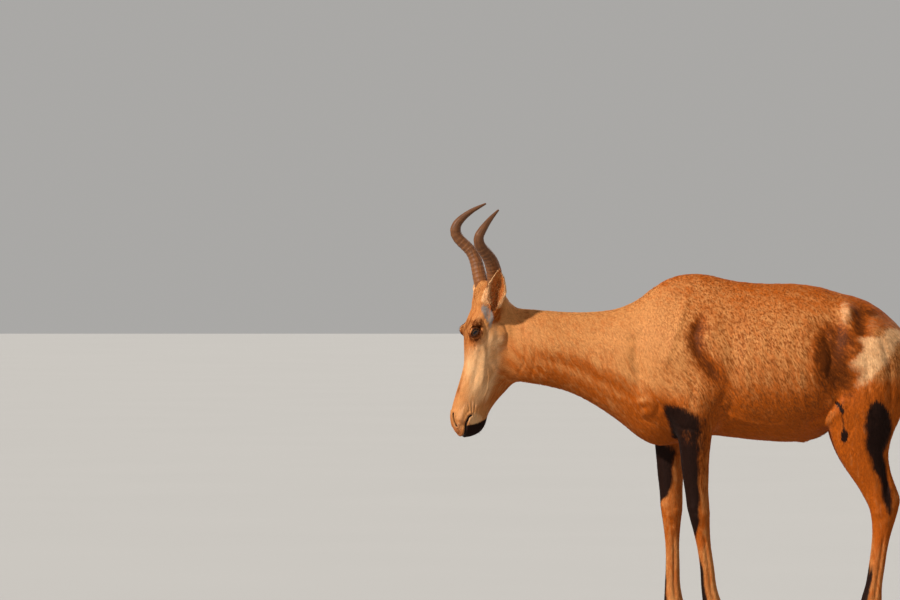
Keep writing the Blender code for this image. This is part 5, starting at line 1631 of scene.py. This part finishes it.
def eye_material():
    """Dark iris with fine rays, a lying pupil and a dark ring, in a brownish white."""
    n = Nodes("eye")
    split = n.tree.nodes.new("ShaderNodeSeparateXYZ")
    n.tree.links.new(n.attribute("gaze", "Vector"), split.inputs[0])
    a, b = split.outputs[0], split.outputs[1]
    reach = n.math("SQRT", n.sum_of(n.math("MULTIPLY", a, a), b, b))
    turn = n.math("ARCTAN2", b, a)
    turn, outward = n.math("MULTIPLY", turn, 2.2), n.math("MULTIPLY", reach, 0.6)
    rays = n.noise(n.add("CombineXYZ", {0: turn, 1: outward, 2: 0.0}), 9.0, 4.0, 0.65)
    iris = n.mix(rays, IRIS, IRIS_RAYS)
    wide, tall = (n.math("POWER", n.math("ABSOLUTE", n.math("DIVIDE", value, half)), 2.6)
                  for value, half in ((a, 0.42), (b, 0.175)))
    pupil = n.ramp(n.math("ADD", wide, tall), 1.10, 0.88)
    colour = n.mix(pupil, iris, PUPIL)
    colour = n.mix(n.ramp(reach, 0.60, 0.70), colour, IRIS_RING)
    colour = n.mix(n.ramp(reach, 0.74, 0.86), colour, EYE_WHITE)
    return n.finish(Base_Color=colour, Roughness=0.25, Coat_Weight=0.3, Coat_Roughness=0.02,
                    Specular_IOR_Level=0.06)


def plain_surface(name, colour, rough, scale):
    """Floor: pale, with the least unevenness of a painted studio floor."""
    n = Nodes(name)
    cloud = n.noise(n.place(), scale, 3.0)
    shade = n.mix(n.ramp(cloud, 0.3, 0.7), tuple(0.985 * c for c in colour), colour)
    return n.finish(Base_Color=shade, Roughness=rough, Specular_IOR_Level=0.2)


# ------------------------------------------------------------------ eyes
def eyeball(word, side, material):
    """A ball with the bulge of its cornea. Its "gaze" is the place on it, where iris and pupil sit."""
    middle, along, brow, outward = eye_frame(side)
    turns, lifts = 72, 48
    lift = np.pi * (np.arange(1, lifts) / lifts)
    turn = 2 * np.pi * np.arange(turns) / turns
    c = np.concatenate([[1], np.repeat(np.cos(lift), turns), [-1]])
    a = np.concatenate([[0], np.outer(np.sin(lift), np.cos(turn)).ravel(), [0]])
    b = np.concatenate([[0], np.outer(np.sin(lift), np.sin(turn)).ravel(), [0]])
    bulge = 1 + 0.055 * blend_step(0.74, 0.30, np.hypot(a, b)) * (c > 0)
    local = EYE_RADIUS * np.stack([a, b, c], 1) * bulge[:, None] * 0.995
    points = world_of(middle + local @ np.stack([along, brow, outward]))
    round_again = (np.arange(turns) + 1) % turns
    last, last_ring = len(points) - 1, 1 + (lifts - 2) * turns
    faces = [(0, 1 + k, 1 + after) for k, after in enumerate(round_again)]
    for p in range(1, last_ring, turns):
        q = p + turns
        for k, after in enumerate(round_again):
            faces += [(p + k, q + k, q + after), (p + k, q + after, p + after)]
    faces += [(last_ring + k, last, last_ring + after) for k, after in enumerate(round_again)]
    made = new_mesh("eyeball_" + word, points, faces, material)
    edit_mesh(made, turn_outward)
    set_value(made.data, "gaze", "FLOAT_VECTOR", np.stack([a, b, c], 1))
    return made


def lashes(word, side, material):
    """Two rows of short dark lashes on the upper lid and a thin row on the lower one."""
    middle, along, brow, outward = eye_frame(side)
    paths = []
    for up, count, length in ((True, 46, 0.0062), (True, 34, 0.0050), (False, 24, 0.0032)):
        a = np.linspace(-0.92, 0.90, count) * EYE_HALF + RANDOM.normal(0, 0.0003, count)
        b = lid_edge(a, up) * (1 if up else -1) + (0.0008 if up else -0.0006)
        c = np.sqrt(np.maximum((EYE_RADIUS + LASH_ROOT) ** 2 - a**2 - b**2, 0))
        start = np.stack([a, b, c], 1)
        way = np.stack([0.40 * a / EYE_HALF, np.full(count, 0.10 if up else -0.45), np.ones(count)], 1)
        way += RANDOM.normal(0, 0.09, way.shape)
        bend = np.array([0, 0.9 if up else -0.3, 0])
        s = np.linspace(0, 1, STEPS)[None, :, None]
        reach = (length * RANDOM.uniform(0.75, 1.15, count))[:, None, None]
        paths.append(start[:, None] + reach * (way[:, None] * s + bend * s**2 * 0.7))
    paths = np.concatenate(paths)
    head = middle + paths @ np.stack([along, brow, outward])
    made = lock_mesh("lashes_" + word, world_of(head), np.full(len(paths), 0.00045), material)
    strand_values(made.data, *paths.shape[:2])
    return made


def strand_values(mesh, count, steps, place=None):
    """Along, shade and map place of strands made by lock_mesh."""
    along = np.tile(np.repeat(np.linspace(0, 1, steps), SIDES), count)
    shade = np.repeat(RANDOM.random(count), steps * SIDES)
    set_value(mesh, "along", "FLOAT", along)
    set_value(mesh, "shade", "FLOAT", shade)
    corners = values_of(mesh.loops, "vertex_index", kind=np.int32)
    if place is None:
        row = int(np.ceil(np.sqrt(count)))
        number = np.arange(count)
        place = np.stack([(number % row + 0.5) / row, (number // row + 0.5) / row], 1)
    across = (np.tile(np.arange(SIDES), count * steps) - 1) * 0.9
    at = np.repeat(place, steps * SIDES, axis=0) + UV_PATCH * np.stack([across, (along - 0.5) * 2], 1)
    add_map(mesh, at[corners])


# ------------------------------------------------------------------ horns
RING_GAP = 0.0135            # from one ring to the next at the base


def horn_mesh(word, line, side, material):
    """A ringed horn: knotted ridges in front on its lower part, smooth above, with a little twist."""
    rows = np.array([(*world_of((t, u, side * l)), radius) for t, u, l, radius in line])
    keys = np.concatenate([[0], np.cumsum(np.linalg.norm(np.diff(rows[:, :3], axis=0), axis=1))])
    total = keys[-1]
    steps, sides = 230, 48
    at = np.linspace(-0.006, total, steps + 1)
    columns = [smooth_read(keys, column, at) for column in rows.T]
    path = np.stack(smoothed(columns, np.arange(-9, 10) / 3.5), 1)
    ways = np.gradient(path[:, :3], axis=0)
    ways /= np.linalg.norm(ways, axis=1)[:, None]
    one = FACE_FRONT - (ways @ FACE_FRONT)[:, None] * ways
    one /= np.linalg.norm(one, axis=1)[:, None]
    two = np.cross(ways, one)
    share = np.clip(at / total, 0, 1)
    turn = 2 * np.pi * np.arange(sides) / sides
    around = np.stack([np.cos(turn), np.sin(turn)], 1)
    lean = 0.35 * np.sin(turn + 0.6)
    count = at / RING_GAP * (1 - 0.22 * share)
    phase = 2 * np.pi * count[:, None] + lean * 2.2 + 0.5 * np.sin(3.1 * count)[:, None]
    ridge = (0.5 + 0.5 * np.cos(phase)) ** 1.8
    strong = blend_step(-0.01, 0.03, at)[:, None] * blend_step(0.78, 0.50, share)[:, None]
    strong = strong * (0.35 + 0.65 * (0.5 + 0.5 * around[:, 0])) * (0.8 + 0.3 * np.sin(5.3 * count)[:, None])
    fine = 0.00022 * np.sin(9 * turn + 3 * share[:, None]) + 0.00016 * np.sin(17 * turn + 40 * share[:, None])
    radius = path[:, 3:4] * 0.965 + 0.0012 * ridge * strong - 0.0005 * strong
    radius += fine * blend_step(1.0, 0.8, share)[:, None]
    radius[-1] = 0.0006
    ring = around[:, :1] * one[:, None] * 1.04 + around[:, 1:] * two[:, None] * 0.97
    points = (path[:, None, :3] + radius[..., None] * ring).reshape(-1, 3)
    made = new_mesh("horn_ringed_" + word, points, ring_faces(steps + 1, sides), material)
    edit_mesh(made, close_ends)
    set_value(made.data, "along", "FLOAT", np.repeat(share, sides))
    set_value(made.data, "shade", "FLOAT", (ridge * strong).ravel())
    across = (path[:, 3:4, None] * around).reshape(-1, 2)
    grain = np.concatenate([np.repeat(at * 0.16, sides)[:, None], across], 1)
    set_value(made.data, "grain", "FLOAT_VECTOR", grain)
    return made


# ------------------------------------------------------------------ hooves
# One claw from above, in lengths and widths of the claw, from its toe round the outer side.
CLAW_OUTLINE = [(-0.500, 0.06), (-0.44, 0.22), (-0.30, 0.42), (-0.10, 0.50), (0.12, 0.50), (0.32, 0.46),
                (0.44, 0.36), (0.50, 0.18), (0.50, -0.20), (0.40, -0.44), (0.10, -0.50), (-0.16, -0.48),
                (-0.36, -0.34), (-0.47, -0.12)]
TOE = 0.004                  # the toe stands out this far in front of the coronet
CLAW_GAP = 0.0024            # between the two claws
DEWCLAW_HEIGHT = 0.098


def closed_curve(outline, count):
    """Smooth closed curve through an outline."""
    points = np.array(outline + outline[:3], float)
    points = np.concatenate([np.array(outline[-3:], float), points])
    keys = np.arange(-3, len(outline) + 3)
    at = np.linspace(0, len(outline), count, endpoint=False)
    return np.stack([smooth_read(keys, points[:, i], at) for i in (0, 1)], 1)


def hoof_piece(leg, word, shift, material):
    """One claw of a hoof: worn sole edge, growth rings and a soft rim at the hair."""
    side = LEG_CURVES[leg][2]
    middle, off = coronet_middle(leg)
    middle -= TOE
    y = side * off + shift * side * (CLAW_WIDTH / 2 + CLAW_GAP / 2)
    outline = closed_curve(CLAW_OUTLINE, 64)
    long_way, wide_way = outline.T
    levels = np.concatenate([[0.0, 0.012, 0.035], np.linspace(0.07, 0.93, 26), [0.96, 0.985, 1.0]])
    loops = []
    for level in levels:
        scale = np.interp(level, [0, 0.012, 0.035, 0.10, 0.55, 0.93, 0.985, 1.0],
                          [0.940, 0.972, 0.985, 0.990, 0.930, 0.868, 0.845, 0.800])
        lean = np.interp(level, [0, 0.1, 0.55, 1.0], [0, 0, 0.35, 0.70])
        px = middle + long_way * SOLE_LENGTH * scale + lean * TOE
        py = y + shift * side * wide_way * CLAW_WIDTH * scale
        top = CORONET + CORONET_SLOPE * (middle + TOE - px) - 0.0008
        ring = 0.0005 * np.sin(2 * np.pi * (level * 5.5 + 0.25 * np.sin(6 * long_way)))
        ring *= blend_step(0.03, 0.12, level)
        px += ring * np.sign(long_way) * blend_step(0.15, 0.45, np.abs(long_way))
        py += ring * shift * side * np.sign(wide_way) * blend_step(0.15, 0.45, np.abs(wide_way))
        loops.append(np.stack([px, py, level * top], 1))
    faces = ring_faces(len(loops), len(outline))
    made = new_mesh(f"{leg}_hoof_{word}", np.concatenate(loops), faces, material)
    edit_mesh(made, close_ends)
    set_value(made.data, "along", "FLOAT", np.repeat(levels, len(outline)))
    return made


def dewclaws(leg, material):
    """The two small claws behind the fetlock."""
    shape, line, side, stagger = LEG_CURVES[leg]
    z = DEWCLAW_HEIGHT
    middle, off = (float(value) for value in read(line, z))
    behind = middle + float(leg_shift(z, stagger)) + float(read(shape, z)[0]) * 0.46
    rows, sides = 14, 24
    s = np.linspace(0, 1, rows)
    turn = 2 * np.pi * np.arange(sides) / sides
    radius = (0.0098 * np.sqrt(np.clip(1 - s**2.4, 0.0, 1)) + 0.0002) * (1 + 0.04 * np.sin(24 * s))
    points = []
    for shift in (1, -1):
        way = np.array([0.52, 0.10 * shift, -0.85])
        way /= np.linalg.norm(way)
        one = np.array([0.0, 1.0, 0.0]) - way[1] * way
        one /= np.linalg.norm(one)
        ring = np.cos(turn)[:, None] * one + np.sin(turn)[:, None] * np.cross(way, one) * 0.72
        at = np.array([behind, side * off + shift * 0.013, z])
        loop = at + (s[:, None, None] * 0.021 - 0.007) * way + radius[:, None, None] * ring
        points.append(loop.reshape(-1, 3))
    faces = ring_faces(rows, sides)
    faces = np.concatenate([faces, faces + rows * sides])
    made = new_mesh(f"{leg}_dewclaws", np.concatenate(points), faces, material)
    edit_mesh(made, close_ends)
    set_value(made.data, "along", "FLOAT", np.tile(np.repeat(1 - s, sides), 2))
    return made


# ------------------------------------------------------------------ long hair
TASSEL_LOW = 0.5405          # no strand of the tail hangs lower
TASSEL_ROOT = 0.760          # nor grows lower, on the dock


def tail_tassel(material):
    """Long black strands from the dock, from a thin crest above to the full tuft below."""
    tail_x, tail_y, tail_z, tail_radius = np.array(TAIL)[::-1].T
    count, steps = 1700, 8
    z = 1.005 - 0.36 * RANDOM.random(count) ** 0.85
    root = np.clip(z, TASSEL_ROOT, None)
    turn = RANDOM.uniform(-np.pi, np.pi, count)
    turn = np.where(z > 0.90, turn * 0.45, turn)
    length = np.interp(z, [0.64, 0.78, 0.92, 1.0], [0.115, 0.160, 0.095, 0.035])
    length = length * RANDOM.uniform(0.75, 1.10, count)
    fill = np.sqrt(RANDOM.random(count))[:, None]
    s = np.linspace(0, 1, steps)
    down = root[:, None] - s * length[:, None] - np.maximum(TASSEL_ROOT - z, 0)[:, None]
    envelope = np.interp(down, tail_z, tail_radius) - 0.0010
    spread = 0.0085 + (envelope * fill - 0.0085) * blend_step(0, 0.55, s)
    spread = np.minimum(np.maximum(spread, 0.002), envelope)
    sway = turn[:, None] + 0.25 * np.sin(4 * s + 9 * fill)
    middle_x, middle_y = np.interp(down, tail_z, tail_x), np.interp(down, tail_z, tail_y)
    low = np.maximum(down, TASSEL_LOW)
    paths = np.stack([middle_x + spread * np.cos(sway), middle_y + spread * np.sin(sway), low], -1)
    made = lock_mesh("tail_tassel", paths, RANDOM.uniform(0.0016, 0.0030, count), material)
    strand_values(made.data, count, steps)
    return made


def fringe(name, roots, way, length, width, rise, material, painted=True):
    """Longer strands at roots found by scatter. Painted ones take the markings of the coat."""
    at, normal, place = roots
    count = len(at)
    s = np.linspace(0, 1, STEPS)[None, :, None]
    length = (length * RANDOM.uniform(0.7, 1.2, count))[:, None, None]
    out = normal + RANDOM.normal(0, 0.12, normal.shape)
    way = np.broadcast_to(way, normal.shape)
    paths = at[:, None] - 0.0006 * normal[:, None] + length * (way[:, None] + rise * out[:, None]) * s
    made = lock_mesh(name, paths, width * RANDOM.uniform(0.8, 1.2, count), material)
    strand_values(made.data, count, STEPS, place)
    if painted:
        paint(made.data, at, normal, parts_of(at)[1], copies=STEPS * SIDES)
    return made


def fringes(skin, uv, pale, dark, coat):
    """Hair that stands out from the short coat: in the ears, round the horns, on chin, sheath and feet."""
    mesh = skin.data
    points, normals = points_of(mesh), normals_of(mesh)
    x, y, z = points.T
    head = head_places(points)
    t, u, l = head.T
    made = []
    for word, spec in EARS.items():
        ear_way, ear_side = (ear_axes(spec)[i] @ HEAD_AXES for i in (2, 4))
        v, across, off = ear_place(spec, head)
        on_ear = (v > 0.06) & (v < 0.93) & (off < 0.050)
        facing = ear_facing(spec, normals)
        roots = scatter(mesh, uv, (on_ear & (facing > -0.3) & (np.abs(across) > 0.70)) * 1.0e5)
        v_at, across_at, _ = ear_place(spec, head_places(roots[0]))
        way = 0.75 * ear_way - 0.50 * np.sign(across_at)[:, None] * ear_side
        length = np.interp(v_at, [0, 0.2, 0.6, 0.95], [0.012, 0.012, 0.008, 0.0035])
        made.append(fringe(f"ear_fringe_{word}", roots, way, length, 0.0008, 0.12, pale, False))
        roots = scatter(mesh, uv, (on_ear & (facing > 0.2) & (np.abs(across) < 0.55) & (v < 0.70)) * 0.6e5)
        made.append(fringe(f"ear_hair_{word}", roots, ear_way, 0.009, 0.0008, 0.30, pale, False))
    round_horns = (t < 0.012) & (t > -0.036) & (u > -0.025) & (np.abs(l) > 0.006)
    roots = scatter(mesh, uv, round_horns * 0.6e5)
    way = coat_flow(roots[0], roots[1], parts_of(roots[0])[1])
    made.append(fringe("horn_hair", roots, way, 0.0120, 0.0012, 0.14, coat))
    on_chin = (t > 0.37) & (t < 0.46) & (u < -0.052) & (np.abs(l) < 0.030)
    roots = scatter(mesh, uv, on_chin * 1.4e4)
    made.append(fringe("chin_hair", roots, NOSE_DOWN, 0.0075, 0.0005, 0.40, dark, False))
    for name in LEG_CURVES:
        above = leg_end(name, x, z)
        f, _ = leg_place(name, x, y, z)
        mine = on_leg(name, points)
        rim = mine & (above > 0.001) & (above < 0.012)
        tuft = mine & (z > 0.088) & (z < 0.116) & (f > 0.35)
        roots = scatter(mesh, uv, rim * 1.8e5 + tuft * 1.7e5)
        made.append(fringe(f"{name}_foot_hair", roots, (0.05, 0.0, -1.0), 0.0145, 0.0012, 0.16, coat))
    on_sheath = (np.abs(y) < 0.020) & (normals[:, 2] < -0.4) & (x > 0.325) & (x < 0.375) & (z < 0.80)
    roots = scatter(mesh, uv, on_sheath * 1.6e5)
    made.append(fringe("sheath_hair", roots, (-0.80, 0.0, -0.35), 0.007, 0.0008, 0.10, coat))
    return made


# ------------------------------------------------------------------ skin, whole
def skin_piece(material):
    skin = skin_mesh()
    refine(skin, fine_face, skin_field)
    refine(skin, lambda points: near_eyes(points, 0.030), skin_field)
    points, normals = points_of(skin.data), normals_of(skin.data)
    on_head = blend_step(0.03, -0.01, skin_head_field(*to_head(*points.T)) - 0.004)
    out = body_detail(points, normals) * (1 - on_head) + face_detail(points, normals) * on_head
    move_points(skin.data, lay_lids(points + normals * out[:, None]))
    join_ears(skin)
    mesh = skin.data
    mesh.polygons.foreach_set("use_smooth", np.ones(len(mesh.polygons), bool))
    points, normals = points_of(mesh), normals_of(mesh)
    fields, share = parts_of(points)
    uv = unwrap(mesh, fields)
    paint(mesh, points, normals, share)
    mesh.materials.clear()
    mesh.materials.append(material)
    return skin, uv


# ------------------------------------------------------------------ studio
FLOOR_HALF = 80.0
CAMERA_AT = (-0.83, -20.0, 1.33)
CAMERA_LENS = 232.6
CAMERA_PITCH = np.radians(0.43)


def studio():
    corners = [(-FLOOR_HALF, -FLOOR_HALF, 0), (FLOOR_HALF, -FLOOR_HALF, 0), (FLOOR_HALF, FLOOR_HALF, 0),
               (-FLOOR_HALF, FLOOR_HALF, 0)]
    surface = plain_surface("floor", FLOOR_GREY, 0.85, 0.6)
    floor = new_mesh("floor", np.array(corners, float) - SHIFT, [(0, 1, 2, 3)], surface, smooth=False)
    world = bpy.data.worlds.new("studio")
    world.use_nodes = True
    background = world.node_tree.nodes["Background"]
    background.inputs["Color"].default_value = (1.0, 0.98, 0.95, 1)
    background.inputs["Strength"].default_value = 0.40
    bpy.context.scene.view_settings.view_transform = "Standard"
    bpy.context.scene.world = world
    for name, way, energy, angle, colour in (
        ("key", (0.62, 0.55, -0.57), 4.3, 4.0, (1.0, 0.94, 0.86)),
        ("fill", (-0.45, -0.75, -0.50), 1.0, 40.0, (1.0, 0.98, 0.95)),
    ):
        lamp = bpy.data.lights.new(name, "SUN")
        lamp.energy = energy
        lamp.angle = np.radians(angle)
        lamp.color = colour
        made = bpy.data.objects.new(name, lamp)
        made.rotation_mode = "QUATERNION"
        made.rotation_quaternion = Vector(way).to_track_quat("-Z", "Y")
        bpy.context.scene.collection.objects.link(made)


def camera():
    data = bpy.data.cameras.new("camera")
    data.lens = CAMERA_LENS
    data.sensor_width = 36.0
    data.clip_end = 400
    made = bpy.data.objects.new("camera", data)
    made.location = CAMERA_AT
    made.rotation_euler = (np.pi / 2 - CAMERA_PITCH, 0, 0)
    bpy.context.scene.collection.objects.link(made)
    bpy.context.scene.camera = made


def main():
    studio()
    camera()
    skin_material, coat_material = hair_materials()
    horn, hoof, eye = horn_material(), hoof_material(), eye_material()
    black_hair = long_hair_material("black_hair", *BLACK_HAIR)
    pale_hair = long_hair_material("pale_hair", *PALE_HAIR)
    brown_hair = long_hair_material("brown_hair", *BROWN_HAIR)

    skin, uv = skin_piece(skin_material)
    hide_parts("trunk", "neck", "head", "ear_left", "ear_right", *LEG_CURVES)
    pieces = [skin]
    for piece in grow_coat(skin, uv):
        piece.data.materials.append(coat_material)
        pieces.append(piece)
    for word, side, line in (("left", 1, HORN_LEFT), ("right", -1, HORN_RIGHT)):
        ball = eyeball(word, side, eye)
        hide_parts("eye_" + word)
        ringed = horn_mesh(word, line, side, horn)
        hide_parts("horn_" + word)
        pieces += [ball, ringed, lashes(word, side, black_hair)]
    for leg in LEG_CURVES:
        for word, shift in (("outer", 1), ("inner", -1)):
            claw = hoof_piece(leg, word, shift, hoof)
            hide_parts(f"{leg}_claw_{word}")
            pieces.append(claw)
        pieces.append(dewclaws(leg, hoof))
    tassel = tail_tassel(black_hair)
    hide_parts("tail")
    pieces.append(tassel)
    pieces += fringes(skin, uv, pale_hair, brown_hair, coat_material)
    for piece in pieces:
        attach(piece, "root")


main()
